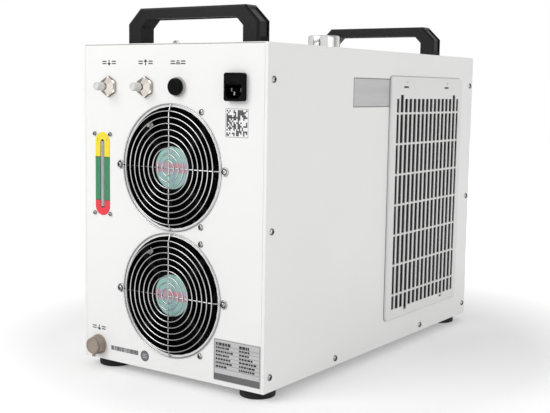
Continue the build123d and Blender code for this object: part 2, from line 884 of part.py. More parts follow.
def make_drain_cap():
    z = base + drain_height
    seat = rear + drain_flange_depth + drain_hex_depth + seat_gap
    cap = flat_rod_y(drain_cap_radius, drain_x, seat, seat + drain_cap_depth, z, large_sides)
    return cap + flat_rod_y(drain_bore - 2 * seat_gap, drain_x, seat, seat - drain_plug_depth, z)


# Filler cap, vent plug and front controls

def make_fill_cap():
    y = rear - filler_setback
    cap = flat_rod_z(cap_radius, filler_x, y, top + seat_gap, top + cap_rise, large_sides)
    hole = neck_radius + 2 * seat_gap
    return cap - flat_rod_z(hole, filler_x, y, top - overcut, top + neck_rise + seat_gap, large_sides)


def make_vent_plug():
    return rod_z(vent_plug_radius, vent_plug_x, rear - vent_plug_setback, top, top + vent_plug_rise)


def button_places():
    places = []
    for row in range(button_rows):
        for column in range(button_columns):
            x = control_x - button_shift + (column - (button_columns - 1) / 2) * button_pitch_x
            z = control_z - (row - (button_rows - 1) / 2) * button_pitch_z
            places.append((x, z))
    return places


def make_controller():
    z = control_z
    face = front - bezel_proud
    bezel = RectangleRounded(bezel_width, bezel_tall, bezel_corner)
    control = plate_y(Pos(control_x, z) * bezel, front, face)
    control += plate_y(Pos(control_x, z) * Rectangle(case_width, case_tall), front + case_depth, front)
    window = Pos(control_x + window_shift, z) * Rectangle(window_width, window_tall)
    control -= plate_y(window, face + window_depth, face - overcut)
    well = face + button_length + button_travel + seat_gap
    size = (button_width + 2 * seat_gap, button_tall + 2 * seat_gap)
    for place in button_places():
        control -= plate_y(Pos(*place) * Rectangle(*size), well, face - overcut)
    return control


def make_display_window():
    face = front - bezel_proud
    window = Pos(control_x + window_shift, control_z) * Rectangle(window_width, window_tall)
    return plate_y(window, face + window_depth, face + window_recess)


def make_button(x, z):
    face = front - bezel_proud
    outline = Pos(x, z) * Rectangle(button_width, button_tall)
    return plate_y(outline, face + button_length, face - button_proud)


def make_switch_frame():
    middle = (switch_x, switch_z)
    body = (switch_width - 2 * switch_rim, switch_tall - 2 * switch_rim)
    frame = plate_y(Pos(*middle) * Rectangle(switch_width, switch_tall), front, front - switch_proud)
    frame += plate_y(Pos(*middle) * Rectangle(*body), front + switch_body_depth, front)
    well = Pos(*middle) * Rectangle(body[0] - 2 * switch_wall, body[1] - 2 * switch_wall)
    return frame - plate_y(well, front + switch_well, front - switch_proud - overcut)


def make_switch_rocker():
    # Two faces that meet in a shallow valley. It rests tipped, with its upper end out.
    width = switch_width - 2 * (switch_rim + switch_wall + seat_gap)
    face = -rocker_lift - rocker_rise
    outline = [
        (rocker_root, -rocker_root),
        (rocker_root, rocker_root),
        (face + rocker_lip, rocker_half),
        (face, rocker_half),
        (-rocker_lift, 0),
        (face, -rocker_half),
        (face + rocker_lip, -rocker_half),
    ]
    rocker = plate_x(make_face(Polyline(*outline, close=True)), -width / 2, width / 2)
    return Pos(switch_x, front, switch_z) * Rot(rocker_angle, 0, 0) * rocker


# Inside: tank and what it holds

def make_tank():
    half = tank_half
    w = tank_wall
    tank = block(-half, half, tank_front, tank_back, tank_base, tank_top)
    return tank - block(-half + w, half - w, tank_front + w, tank_back - w, tank_base + w, tank_top + overcut)


def make_tank_lid():
    # The filler neck is moulded with the lid.
    half = tank_half + lid_overhang
    y = rear - filler_setback
    lid_top = tank_top + lid_thickness
    lid = block(-half, half, tank_front - lid_overhang, tank_back + lid_overhang, tank_top, lid_top)
    lid += flat_rod_z(neck_radius, filler_x, y, lid_top, top + neck_rise, large_sides)
    return lid - flat_rod_z(neck_bore, filler_x, y, tank_top - overcut, top + neck_rise + overcut)


def make_evaporator():
    # A sheet folded to a U that stands on the tank's floor, with pressed refrigerant channels.
    half = evaporator_width / 2
    low = tank_base + tank_wall
    front_y = (tank_front + tank_back) / 2 - evaporator_length / 2
    back_y = front_y + evaporator_length
    s = evaporator_sheet
    side = block(half - s, half, front_y, back_y, low, low + evaporator_height)
    middle = low + evaporator_height / 2
    for i in range(channel_count):
        z = middle + (i - (channel_count - 1) / 2) * channel_pitch
        reach = half + channel_proud
        channel = block(half - s / 2, reach, front_y + channel_height, back_y, 0, channel_height)
        side += Pos(0, 0, z - channel_height / 2) * channel
    web = block(-half, half, back_y - s, back_y, low, low + evaporator_height)
    return Pos(evaporator_x, 0, 0) * (side + mirrored(side) + web)


def make_pump():
    # A sump pump on the tank's floor, with a moulded duct up the tank's wall to the outlet's hose.
    low = tank_base + tank_wall
    back_y = tank_back - tank_wall - seat_gap
    y = back_y - pump_length / 2
    pump = centred_block(outlet_x, y, low + pump_height / 2, pump_width, pump_length, pump_height)
    # The intake is a step cut back under the body's front.
    step = block(-pump_width, pump_width, -pump_length, pump_intake - pump_length / 2, -overcut, pump_intake)
    pump -= Pos(outlet_x, y, low) * step
    half = duct_width / 2
    return pump + block(outlet_x - half, outlet_x + half, back_y - duct_depth, back_y, low, fitting_z + half)


def make_tank_stand():
    half = tank_half
    s = stand_sheet
    table = tank_base - s
    stand = block(-half, half, tank_front, tank_back, table, tank_base)
    for side in (-1, 1):
        stand += block(side * half, side * (half - s), tank_front, tank_back, pan_top, tank_base)
        stand += block(side * half, side * (half - stand_foot), tank_front, tank_back, pan_top, pan_top + s)
    # Air passes through the two side walls.
    y0, y1 = tank_front + stand_post, tank_back - stand_post
    return stand - block(-half - overcut, half + overcut, y0, y1, pan_top + stand_sill, table - stand_header)


# Inside: refrigeration, hoses and electrical box

compressor_y = rear - compressor_setback
compressor_base = pan_top + mount_height
shell_base = compressor_base + compressor_plate


def make_compressor():
    shell_top = shell_base + compressor_height
    shell = flat_rod_z(compressor_radius, 0, compressor_y, shell_base, shell_top, large_sides)
    plate_z = compressor_base + compressor_plate / 2
    size = (compressor_plate_width, compressor_plate_length, compressor_plate)
    return shell + centred_block(0, compressor_y, plate_z, *size)


def make_compressor_mounts():
    x = compressor_plate_width / 2 - mount_inset
    y = compressor_plate_length / 2 - mount_inset
    size = (mount_size, mount_size, mount_height)
    z = pan_top + mount_height / 2
    corners = [(-x, -y), (x, -y), (-x, y), (x, y)]
    return group(centred_block(dx, compressor_y + dy, z, *size) for dx, dy in corners)


def make_condenser():
    # A finned block between two end plates that stand on the base pan, for the +X side.
    x0, x1 = condenser_back, condenser_back + condenser_thickness
    y0, y1 = grille_y - condenser_length / 2, grille_y + condenser_length / 2
    z0, z1 = base + condenser_low, top - condenser_drop
    core = block(x0, x1, y0, y1, z0, z1)
    for i in range(fin_count):
        y = grille_y + (i - (fin_count - 1) / 2) * fin_pitch
        half = fin_groove / 2
        groove = block(x1 - fin_groove_depth, x1 + overcut, -half, half, z0 + fin_margin, z1 - fin_margin)
        core -= Pos(0, y, 0) * groove
    for y in (y0, y1 - end_plate):
        core += block(x0, x1, y, y + end_plate, pan_top, z0)
    return core


def make_refrigerant_lines():
    # The filter drier and the soldered copper pipes.
    reach = compressor_radius + seat_gap
    x, y = condenser_back, compressor_y
    discharge = base + discharge_height
    liquid = base + liquid_height
    suction = base + suction_height
    table = tank_base - stand_sheet
    lines = [pipe(pipe_radius, (side * reach, y, discharge), (side * x, y, discharge)) for side in (-1, 1)]
    cross_y = rear - cross_setback
    lines.append(pipe(pipe_radius, (-x, cross_y, liquid), (x, cross_y, liquid)))
    drier_y = rear - drier_setback
    drier_low = liquid + 3 * pipe_radius
    drier_high = drier_low + drier_length
    drier = [(drier_x, drier_y, z) for z in (liquid, drier_low, drier_high, table)]
    lines.append(pipe(pipe_radius, (-x, drier_y, liquid), *drier[:2]))
    lines.append(pipe(drier_radius, *drier[1:3]))
    lines.append(pipe(pipe_radius, *drier[2:]))
    # The suction line meets the compressor's shell square on.
    suction_y = rear - suction_setback
    away = math.hypot(suction_x, suction_y - y)
    end = (suction_x * reach / away, y + (suction_y - y) * reach / away, suction)
    lines.append(pipe(pipe_radius, (suction_x, suction_y, table), (suction_x, suction_y, suction), end))
    return group(lines)


def make_water_hoses():
    stub_end = rear - fitting_stub_depth
    z = fitting_z
    hoses = [pipe(hose_radius, (x, stub_end, z), (x, tank_back, z)) for x in (inlet_x, outlet_x)]
    drain_z = base + drain_height
    port_z = base + drain_port_height
    rise_y = rear - drain_rise_setback
    drain = [
        (drain_x, rear - drain_stub_depth, drain_z),
        (drain_x, rear - drain_run_setback, drain_z),
        (drain_port_x, rise_y, port_z),
        (drain_port_x, tank_back, port_z),
    ]
    hoses.append(pipe(hose_radius, *drain))
    start = rear - sight_setback - sight_radius - seat_gap
    for side in (-1, 1):
        z = gauge_middle + side * (gauge_reach - gauge_hose_radius)
        hoses.append(pipe(gauge_hose_radius, (gauge_x, start, z), (gauge_hose_x, tank_back + seat_gap, z)))
    return group(hoses)


box_left = -inner_side + sheet + box_gap
box_back = rear - box_setback
box_top = pan_top + box_height


def make_electrical_box():
    w = box_wall
    box = block(box_left, box_left + box_width, box_back - box_length, box_back, pan_top, box_top)
    inner = (box_left + w, box_left + box_width - w, box_back - box_length + w, box_back - w)
    return box - block(*inner, pan_top + w, box_top + overcut)


def make_box_lid():
    return block(box_left, box_left + box_width, box_back - box_length, box_back, box_top, box_top + box_lid)


grille = make_side_grille()
dust_filter = make_dust_filter()
condenser = make_condenser()

nodes = {
    "base_pan": make_base_pan(),
    "cover": make_cover(),
    "rear_panel": make_rear_panel(),
    "front_panel": make_front_panel(),
    "feet": make_feet(),
    "handle_caps": make_handle_caps(),
    "side_grille_left": grille,
    "side_grille_right": mirrored(grille),
    "dust_filter_left": dust_filter,
    "dust_filter_right": mirrored(dust_filter),
    "condenser_left": condenser,
    "condenser_right": mirrored(condenser),
    "water_fittings": group(make_water_fitting(x) for x in (inlet_x, outlet_x)),
    "inlet_dust_cap": make_dust_cap(inlet_x),
    "outlet_dust_cap": make_dust_cap(outlet_x),
    "alarm_socket": make_alarm_socket(),
    "alarm_cap": make_alarm_cap(),
    "power_inlet": make_power_inlet(),
    "inlet_pins": make_inlet_pins(),
    "fuse_drawer": make_fuse_drawer(),
    "fuse": make_fuse(),
    "level_gauge": make_level_gauge(),
    "sight_tube": make_sight_tube(),
    "drain_body": make_drain_body(),
    "drain_cap": make_drain_cap(),
    "fill_cap": make_fill_cap(),
    "vent_plug": make_vent_plug(),
    "controller": make_controller(),
    "display_window": make_display_window(),
    "switch_frame": make_switch_frame(),
    "switch_rocker": make_switch_rocker(),
    "tank": make_tank(),
    "tank_lid": make_tank_lid(),
    "evaporator": make_evaporator(),
    "pump": make_pump(),
    "tank_stand": make_tank_stand(),
    "compressor": make_compressor(),
    "compressor_mounts": make_compressor_mounts(),
    "refrigerant_lines": make_refrigerant_lines(),
    "water_hoses": make_water_hoses(),
    "electrical_box": make_electrical_box(),
    "box_lid": make_box_lid(),
}
for name, rear_face in handle_faces.items():
    nodes["handle_" + name] = make_handle(rear_face)
for name, height in fan_heights.items():
    nodes["fan_frame_" + name] = make_fan_frame(height)
    nodes["fan_rotor_" + name] = make_fan_rotor(height)
    nodes["fan_guard_" + name] = make_fan_guard(height)
for i, place in enumerate(button_places()):
    nodes[f"button_{i + 1}"] = make_button(*place)

os.makedirs("parts", exist_ok=True)
for name, solid in nodes.items():
    export_step(solid, f"parts/{name}.step")
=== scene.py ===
import math
import random

import bmesh
import bpy
from mathutils import Matrix, Vector


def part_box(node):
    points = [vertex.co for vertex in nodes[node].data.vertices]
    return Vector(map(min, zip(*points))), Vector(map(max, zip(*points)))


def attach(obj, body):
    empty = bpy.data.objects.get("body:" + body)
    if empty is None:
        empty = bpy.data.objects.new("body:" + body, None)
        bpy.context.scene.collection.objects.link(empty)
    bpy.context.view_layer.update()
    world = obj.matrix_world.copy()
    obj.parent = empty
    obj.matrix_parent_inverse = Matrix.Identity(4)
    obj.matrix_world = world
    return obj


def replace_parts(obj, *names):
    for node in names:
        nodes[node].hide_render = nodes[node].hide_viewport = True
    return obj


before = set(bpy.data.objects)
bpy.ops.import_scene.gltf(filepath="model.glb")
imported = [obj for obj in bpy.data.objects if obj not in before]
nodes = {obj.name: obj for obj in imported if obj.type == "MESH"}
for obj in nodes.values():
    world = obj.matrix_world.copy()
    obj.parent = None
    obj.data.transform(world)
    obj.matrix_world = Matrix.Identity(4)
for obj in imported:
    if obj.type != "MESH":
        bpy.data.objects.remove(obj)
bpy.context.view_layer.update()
print("frame loaded:", len(nodes), "nodes")

# Lengths are in metres. The back panel faces +Y, the hoses' side is +X, and Z is up.
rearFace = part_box("rear_panel")[1].y
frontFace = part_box("front_panel")[0].y
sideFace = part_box("cover")[1].x
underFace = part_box("cover")[0].z


# Camera at the photograph's angle

camera = {
    "place": (-0.7978, rearFace + 0.9225, underFace + 0.3534),
    "azimuth": 214.77,
    "downPitch": 6.70,
    "roll": 0.89,
    "lens": 65.57,
}


def makeCamera():
    az, p, roll = (math.radians(camera[k]) for k in ("azimuth", "downPitch", "roll"))
    ahead = Vector((-math.sin(az) * math.cos(p), math.cos(az) * math.cos(p), -math.sin(p)))
    right = ahead.cross(Vector((0, 0, 1))).normalized()
    up = right.cross(ahead)
    turnedRight = right * math.cos(roll) + up * math.sin(roll)
    turnedUp = up * math.cos(roll) - right * math.sin(roll)
    data = bpy.data.cameras.new("camera")
    data.lens = camera["lens"]
    data.sensor_width = 36
    data.sensor_fit = "HORIZONTAL"
    data.clip_start, data.clip_end = 0.02, 30
    lookout = bpy.data.objects.new("camera", data)
    turn = Matrix((turnedRight, turnedUp, -ahead)).transposed().to_4x4()
    lookout.matrix_world = Matrix.Translation(camera["place"]) @ turn
    bpy.context.scene.collection.objects.link(lookout)
    bpy.context.scene.camera = lookout


makeCamera()
print("camera set")


# Node groups for effects that several finishes share

def newGroup(name, inputs, outputs):
    group = bpy.data.node_groups.new(name, "ShaderNodeTree")
    for label, kind, value in inputs:
        socket = group.interface.new_socket(name=label, in_out="INPUT", socket_type=kind)
        socket.default_value = value
    for label, kind in outputs:
        group.interface.new_socket(name=label, in_out="OUTPUT", socket_type=kind)
    return group, group.nodes.new("NodeGroupInput"), group.nodes.new("NodeGroupOutput")


def mathNode(tree, operation, first, second=None, third=None):
    node = tree.nodes.new("ShaderNodeMath")
    node.operation = operation
    for i, value in enumerate((first, second, third)):
        if value is None:
            continue
        if isinstance(value, (int, float)):
            node.inputs[i].default_value = value
        else:
            tree.links.new(value, node.inputs[i])
    return node.outputs[0]


def noiseNode(tree, place, scale, detail):
    # The scale is a number, or a socket that gives one.
    noise = tree.nodes.new("ShaderNodeTexNoise")
    noise.inputs["Detail"].default_value = detail
    tree.links.new(place, noise.inputs["Vector"])
    if isinstance(scale, (int, float)):
        noise.inputs["Scale"].default_value = scale
    else:
        tree.links.new(scale, noise.inputs["Scale"])
    return noise.outputs["Fac"]


def spanNode(tree, value, start, end):
    # Where the value lies from start to end, as zero to one.
    span = tree.nodes.new("ShaderNodeMapRange")
    span.inputs["From Min"].default_value = start
    span.inputs["From Max"].default_value = end
    tree.links.new(value, span.inputs["Value"])
    return span


def blendNode(tree, factor, first, second, kind="FLOAT"):
    blend = tree.nodes.new("ShaderNodeMix")
    blend.data_type = kind
    for label, value in (("Factor", factor), ("A", first), ("B", second)):
        if isinstance(value, tuple):
            blend.inputs[label].default_value = value
        else:
            tree.links.new(value, blend.inputs[label])
    return blend.outputs["Result"]


def objectPlace(tree):
    return tree.nodes.new("ShaderNodeTexCoord").outputs["Object"]


def stretchedPlace(group, given):
    # The place on the piece, with each axis times its own factor.
    stretch = group.nodes.new("ShaderNodeVectorMath")
    stretch.operation = "MULTIPLY"
    group.links.new(objectPlace(group), stretch.inputs[0])
    group.links.new(given.outputs["Stretch"], stretch.inputs[1])
    return stretch.outputs[0]


def makeToneDrift():
    # Slow cloudy change between two tones, with finer mottling on top.
    group, given, out = newGroup("toneDrift", [
        ("Tone", "NodeSocketColor", (0.8, 0.8, 0.8, 1)),
        ("Other Tone", "NodeSocketColor", (0.7, 0.7, 0.7, 1)),
        ("Cloud Scale", "NodeSocketFloat", 6.0),
        ("Fleck Scale", "NodeSocketFloat", 300.0),
        ("Fleck Share", "NodeSocketFloat", 0.2),
        ("Stretch", "NodeSocketVector", (1.0, 1.0, 1.0)),
    ], [("Color", "NodeSocketColor")])
    place = stretchedPlace(group, given)
    cloud = noiseNode(group, place, given.outputs["Cloud Scale"], 3)
    fleck = noiseNode(group, place, given.outputs["Fleck Scale"], 2)
    mottle = blendNode(group, given.outputs["Fleck Share"], cloud, fleck)
    share = spanNode(group, mottle, 0.32, 0.68).outputs["Result"]
    tones = blendNode(group, share, given.outputs["Tone"], given.outputs["Other Tone"], "RGBA")
    group.links.new(tones, out.inputs["Color"])
    return group


def makeSurfaceGrain():
    # Two sizes of bump: the coat's long waves and its fine grain.
    group, given, out = newGroup("surfaceGrain", [
        ("Wave Scale", "NodeSocketFloat", 60.0),
        ("Grain Scale", "NodeSocketFloat", 900.0),
        ("Grain Share", "NodeSocketFloat", 0.5),
        ("Stretch", "NodeSocketVector", (1.0, 1.0, 1.0)),
    ], [("Height", "NodeSocketFloat")])
    place = stretchedPlace(group, given)
    waves = noiseNode(group, place, given.outputs["Wave Scale"], 2)
    grain = noiseNode(group, place, given.outputs["Grain Scale"], 2)
    height = blendNode(group, given.outputs["Grain Share"], waves, grain)
    group.links.new(height, out.inputs["Height"])
    return group


def makeGlossDrift():
    # Roughness that wanders between two values, as handling and dust leave it.
    group, given, out = newGroup("glossDrift", [
        ("Smooth", "NodeSocketFloat", 0.3),
        ("Rough", "NodeSocketFloat", 0.5),
        ("Scale", "NodeSocketFloat", 12.0),
    ], [("Roughness", "NodeSocketFloat")])
    noise = noiseNode(group, objectPlace(group), given.outputs["Scale"], 4)
    spread = spanNode(group, noise, 0.35, 0.65)
    group.links.new(given.outputs["Smooth"], spread.inputs["To Min"])
    group.links.new(given.outputs["Rough"], spread.inputs["To Max"])
    group.links.new(spread.outputs["Result"], out.inputs["Roughness"])
    return group


toneDrift = makeToneDrift()
surfaceGrain = makeSurfaceGrain()
glossDrift = makeGlossDrift()
print("shared effects made")


# Finishes. Each gives its two tones, its gloss range, and its bump's wave scale, grain scale and strength.

def coat(tone, other, gloss, relief, **more):
    waves, grain, bump = relief
    return dict(tone=tone, other=other, gloss=gloss, waves=waves, grain=grain, bump=bump, **more)


# In the finishes that give rim, rimFrom and rimTo, the rim colour is laid where the surface turns away:
# painted reflection on the metals and painted shade on the plastics.
finishes = {
    "powderCoat": coat((0.86, 0.858, 0.85), (0.84, 0.838, 0.83), (0.36, 0.46), (90, 1400, 0.05)),
    "grillePlastic": coat((0.8, 0.798, 0.79), (0.76, 0.758, 0.75), (0.42, 0.52), (120, 1800, 0.05)),
    "handlePlastic": coat((0.003, 0.003, 0.0038), (0.008, 0.008, 0.0095), (0.25, 0.38), (400, 1600, 0.2),
        shine=0.15),
    "darkPlastic": coat((0.0022, 0.0022, 0.0026), (0.0045, 0.0045, 0.005), (0.2, 0.32), (300, 1500, 0.1),
        shine=0.05),
    "fanPlastic": coat((0.002, 0.002, 0.002), (0.004, 0.004, 0.004), (0.5, 0.65), (200, 1300, 0.15),
        shine=0.04),
    "footRubber": coat((0.008, 0.008, 0.008), (0.016, 0.016, 0.016), (0.6, 0.8), (250, 1200, 0.3),
        shine=0.3),
    "filterMesh": coat((0.028, 0.028, 0.029), (0.055, 0.055, 0.058), (0.85, 0.95), (500, 900, 0.6),
        shine=0.1),
    "guardWire": coat((0.62, 0.62, 0.62), (0.46, 0.46, 0.46), (0.14, 0.26), (60, 900, 0.03),
        metal=1.0, rim=(0.015, 0.015, 0.016), rimFrom=0.12, rimTo=0.5),
    "screwChrome": coat((0.5, 0.5, 0.5), (0.28, 0.28, 0.28), (0.1, 0.22), (60, 900, 0.03),
        metal=1.0, rim=(0.012, 0.012, 0.013), rimFrom=0.1, rimTo=0.42),
    # The cap chrome's pale and dark tones, drawn out in upright streaks, are painted reflection.
    "capChrome": coat((0.95, 0.95, 0.94), (0.14, 0.145, 0.14), (0.14, 0.22), (60, 900, 0.02),
        clouds=75, stretch=(1, 1, 0.02), metal=1.0, rim=(0.12, 0.11, 0.1), rimFrom=0.55, rimTo=0.98),
    "nickelPlate": coat((0.82, 0.78, 0.72), (0.66, 0.62, 0.56), (0.14, 0.26), (150, 1100, 0.06),
        metal=1.0, rim=(0.05, 0.035, 0.022), rimFrom=0.16, rimTo=0.72),
    "dustCapPlastic": coat((0.74, 0.74, 0.73), (0.62, 0.62, 0.61), (0.2, 0.3), (150, 900, 0.05),
        rim=(0.42, 0.42, 0.42), rimFrom=0.5, rimTo=0.95),
    "paleRing": coat((0.5, 0.48, 0.45), (0.42, 0.4, 0.37), (0.4, 0.5), (150, 900, 0.1)),
    "drainPlastic": coat((0.36, 0.3, 0.245), (0.29, 0.24, 0.195), (0.35, 0.5), (220, 1200, 0.2),
        shine=0.35, rim=(0.08, 0.06, 0.045), rimFrom=0.55, rimTo=1.0),
    "buttonPlastic": coat((0.16, 0.17, 0.18), (0.2, 0.21, 0.22), (0.45, 0.55), (300, 1500, 0.1)),
    "displayLens": coat((0.012, 0.004, 0.004), (0.02, 0.006, 0.006), (0.06, 0.12), (60, 600, 0.02)),
    "lidPlastic": coat((0.72, 0.72, 0.69), (0.66, 0.66, 0.63), (0.4, 0.5), (200, 1200, 0.1)),
    "zincSteel": coat((0.52, 0.53, 0.55), (0.42, 0.43, 0.46), (0.3, 0.45), (120, 900, 0.06), metal=1.0),
    "satinSteel": coat((0.58, 0.58, 0.57), (0.5, 0.5, 0.49), (0.28, 0.4), (30, 500, 0.08),
        metal=1.0, stretch=(1, 1, 12)),
    "finAluminium": coat((0.6, 0.61, 0.63), (0.46, 0.47, 0.49), (0.35, 0.5), (20, 260, 0.5),
        metal=1.0, stretch=(1, 14, 1)),
    "compressorPaint": coat((0.012, 0.012, 0.012), (0.018, 0.018, 0.018), (0.12, 0.25), (80, 700, 0.06)),
    "copperTube": coat((0.7, 0.36, 0.22), (0.5, 0.24, 0.14), (0.22, 0.4), (120, 900, 0.05), metal=1.0),
    "hoseRubber": coat((0.16, 0.16, 0.155), (0.22, 0.22, 0.21), (0.5, 0.65), (300, 1100, 0.2)),
    "labelPaper": coat((0.86, 0.86, 0.86), (0.82, 0.82, 0.82), (0.3, 0.4), (200, 1200, 0.03)),
    "labelInk": coat((0.008, 0.008, 0.009), (0.016, 0.016, 0.018), (0.4, 0.5), (200, 1200, 0.03)),
    "silverPlate": coat((0.56, 0.56, 0.56), (0.48, 0.48, 0.48), (0.3, 0.4), (20, 700, 0.05),
        stretch=(1, 1, 10)),
    "greySticker": coat((0.1, 0.1, 0.105), (0.15, 0.15, 0.155), (0.3, 0.4), (200, 1200, 0.05)),
    # A dark brown used as painted shade: in the back panel's top seam and in the grille's clip windows.
    "clipBrown": coat((0.05, 0.04, 0.025), (0.09, 0.075, 0.05), (0.4, 0.5), (300, 1200, 0.05)),
    "pinMetal": coat((0.3, 0.29, 0.27), (0.16, 0.155, 0.14), (0.35, 0.45), (150, 1100, 0.05), metal=1.0),
    "terminalPlastic": coat((0.5, 0.48, 0.43), (0.4, 0.38, 0.34), (0.35, 0.5), (200, 1200, 0.1)),
    "litSegment": coat((0.5, 0.02, 0.01), (0.42, 0.015, 0.01), (0.3, 0.4), (200, 1200, 0.02), glow=1.2),
}


def newLook(name):
    material = bpy.data.materials.new(name)
    material.use_nodes = True
    tree = material.node_tree
    return material, tree, tree.nodes["Principled BSDF"]


def useGroup(tree, group, **values):
    node = tree.nodes.new("ShaderNodeGroup")
    node.node_tree = group
    for label, value in values.items():
        node.inputs[label].default_value = value
    return node


def paintedRimShade(tree, colour, values):
    # Painted reflection and shade: the colour turns to the rim colour where the surface turns away, standing
    # in for polished metal mirroring the dark room and for shade on turned-away plastic.
    weight = tree.nodes.new("ShaderNodeLayerWeight")
    weight.inputs["Blend"].default_value = 0.5
    share = spanNode(tree, weight.outputs["Facing"], values["rimFrom"], values["rimTo"])
    return blendNode(tree, share.outputs["Result"], colour, (*values["rim"], 1), "RGBA")


def makeFinish(name):
    values = finishes[name]
    material, tree, shader = newLook(name)
    tones = useGroup(tree, toneDrift, **{
        "Tone": (*values["tone"], 1), "Other Tone": (*values["other"], 1),
        "Cloud Scale": float(values.get("clouds", 7.0)), "Fleck Scale": values["waves"] * 2.0,
        "Stretch": values.get("stretch", (1, 1, 1)),
    })
    colour = tones.outputs["Color"]
    if "rim" in values:
        colour = paintedRimShade(tree, colour, values)
    gloss = useGroup(tree, glossDrift, Smooth=values["gloss"][0], Rough=values["gloss"][1])
    grain = useGroup(tree, surfaceGrain, **{
        "Wave Scale": float(values["waves"]), "Grain Scale": float(values["grain"]),
        "Stretch": values.get("stretch", (1, 1, 1)),
    })
    bump = tree.nodes.new("ShaderNodeBump")
    bump.inputs["Strength"].default_value = values["bump"]
    bump.inputs["Distance"].default_value = 0.0006
    tree.links.new(colour, shader.inputs["Base Color"])
    tree.links.new(gloss.outputs["Roughness"], shader.inputs["Roughness"])
    tree.links.new(grain.outputs["Height"], bump.inputs["Height"])
    tree.links.new(bump.outputs["Normal"], shader.inputs["Normal"])
    shader.inputs["Metallic"].default_value = values.get("metal", 0.0)
    shader.inputs["Specular IOR Level"].default_value = values.get("shine", 0.5)
    if "glow" in values:
        shader.inputs["Emission Color"].default_value = (*values["tone"], 1)
        shader.inputs["Emission Strength"].default_value = values["glow"]
    material.diffuse_color = (*values["tone"], 1)
    return material


finish = {name: makeFinish(name) for name in finishes}


def makeClearTube():
    # The sight tube and the fuse: half clear, with a tint that changes slightly.
    material, tree, shader = newLook("clearTube")
    tones = useGroup(tree, toneDrift, **{"Tone": (0.7, 0.74, 0.74, 1), "Other Tone": (0.55, 0.6, 0.6, 1)})
    tree.links.new(tones.outputs["Color"], shader.inputs["Base Color"])
    shader.inputs["Transmission Weight"].default_value = 0.55
    shader.inputs["Roughness"].default_value = 0.12
    return material


finish["clearTube"] = makeClearTube()
print("finishes made:", len(finish))

nodeFinish = {
    "powderCoat": ["base_pan", "cover", "rear_panel", "front_panel"],
    "footRubber": ["feet", "compressor_mounts"],
    "handlePlastic": ["handle_rear", "handle_front"],
    "darkPlastic": [
        "handle_caps", "alarm_cap", "power_inlet", "fuse_drawer", "controller", "switch_frame",
        "switch_rocker", "pump",
    ],
    "grillePlastic": ["side_grille_left", "side_grille_right"],
    "filterMesh": ["dust_filter_left", "dust_filter_right"],
    "finAluminium": ["condenser_left", "condenser_right"],
    "fanPlastic": ["fan_frame_lower", "fan_frame_upper", "fan_rotor_lower", "fan_rotor_upper"],
    "guardWire": ["fan_guard_lower", "fan_guard_upper"],
    "nickelPlate": ["water_fittings"],
    "pinMetal": ["inlet_pins"],
    "dustCapPlastic": ["inlet_dust_cap", "outlet_dust_cap"],
    "paleRing": ["alarm_socket"],
    "clearTube": ["fuse", "sight_tube"],
    "drainPlastic": ["drain_body", "drain_cap"],
    "capChrome": ["fill_cap", "vent_plug"],
    "displayLens": ["display_window"],
    "buttonPlastic": ["button_1", "button_2", "button_3", "button_4"],
    "satinSteel": ["tank", "evaporator"],
    "lidPlastic": ["tank_lid", "level_gauge"],
    "zincSteel": ["tank_stand", "electrical_box", "box_lid"],
    "compressorPaint": ["compressor"],
    "copperTube": ["refrigerant_lines"],
    "hoseRubber": ["water_hoses"],
}
for name, members in nodeFinish.items():
    for member in members:
        nodes[member].data.materials.clear()
        nodes[member].data.materials.append(finish[name])
print("finishes on CAD nodes")


# Mesh helpers

def newPiece(name, verts, faces, look, body="housing", smoothAngle=35):
    mesh = bpy.data.meshes.new(name)
    mesh.from_pydata([tuple(v) for v in verts], [], faces)
    mesh.validate()
    bm = bmesh.new()
    bm.from_mesh(mesh)
    bmesh.ops.remove_doubles(bm, verts=bm.verts, dist=1e-7)
    bmesh.ops.recalc_face_normals(bm, faces=bm.faces)
    bm.to_mesh(mesh)
    bm.free()
    mesh.polygons.foreach_set("use_smooth", [True] * len(mesh.polygons))
    mesh.set_sharp_from_angle(angle=math.radians(smoothAngle))
    mesh.materials.append(finish[look] if isinstance(look, str) else look)
    piece = bpy.data.objects.new(name, mesh)
    bpy.context.scene.collection.objects.link(piece)
    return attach(piece, body)


def facing(axis, place):
    # Carries local X, Y to the face's width and height, and local Z to its outward direction.
    frames = {
        "rear": ((-1, 0, 0), (0, 0, 1), (0, 1, 0)),
        "front": ((1, 0, 0), (0, 0, 1), (0, -1, 0)),
        "left": ((0, 1, 0), (0, 0, 1), (1, 0, 0)),
        "right": ((0, -1, 0), (0, 0, 1), (-1, 0, 0)),
        "top": ((1, 0, 0), (0, 1, 0), (0, 0, 1)),
    }
    turn = Matrix(frames[axis]).transposed().to_4x4()
    return Matrix.Translation(place) @ turn


def ringFaces(rings, count):
    # The faces between rings of count points each.
    faces = []
    for j in range(rings - 1):
        for i in range(count):
            k = (i + 1) % count
            faces.append((j * count + i, j * count + k, (j + 1) * count + k, (j + 1) * count + i))
    return faces


def lathe(profile, count, matrix, form=None):
    # An outline of (radius, height) points turned about the local Z. form changes a radius with its angle.
    verts = []
    for r, h in profile:
        for i in range(count):
            a = 2 * math.pi * i / count
            reach = form(r, a) if form else r
            verts.append(matrix @ Vector((reach * math.cos(a), reach * math.sin(a), h)))
    return verts, ringFaces(len(profile), count)


def joined(parts):
    verts, faces = [], []
    for partVerts, partFaces in parts:
        start = len(verts)
        verts += partVerts
        faces += [tuple(start + i for i in face) for face in partFaces]
    return verts, faces


def roundedOutline(width, height, corner, count=6):
    points = []
    for cx, cy, first in ((1, 1, 0), (-1, 1, 90), (-1, -1, 180), (1, -1, 270)):
        for i in range(count + 1):
            a = math.radians(first + 90 * i / count)
            x = cx * (width / 2 - corner) + corner * math.cos(a)
            y = cy * (height / 2 - corner) + corner * math.sin(a)
            points.append((x, y))
    return points


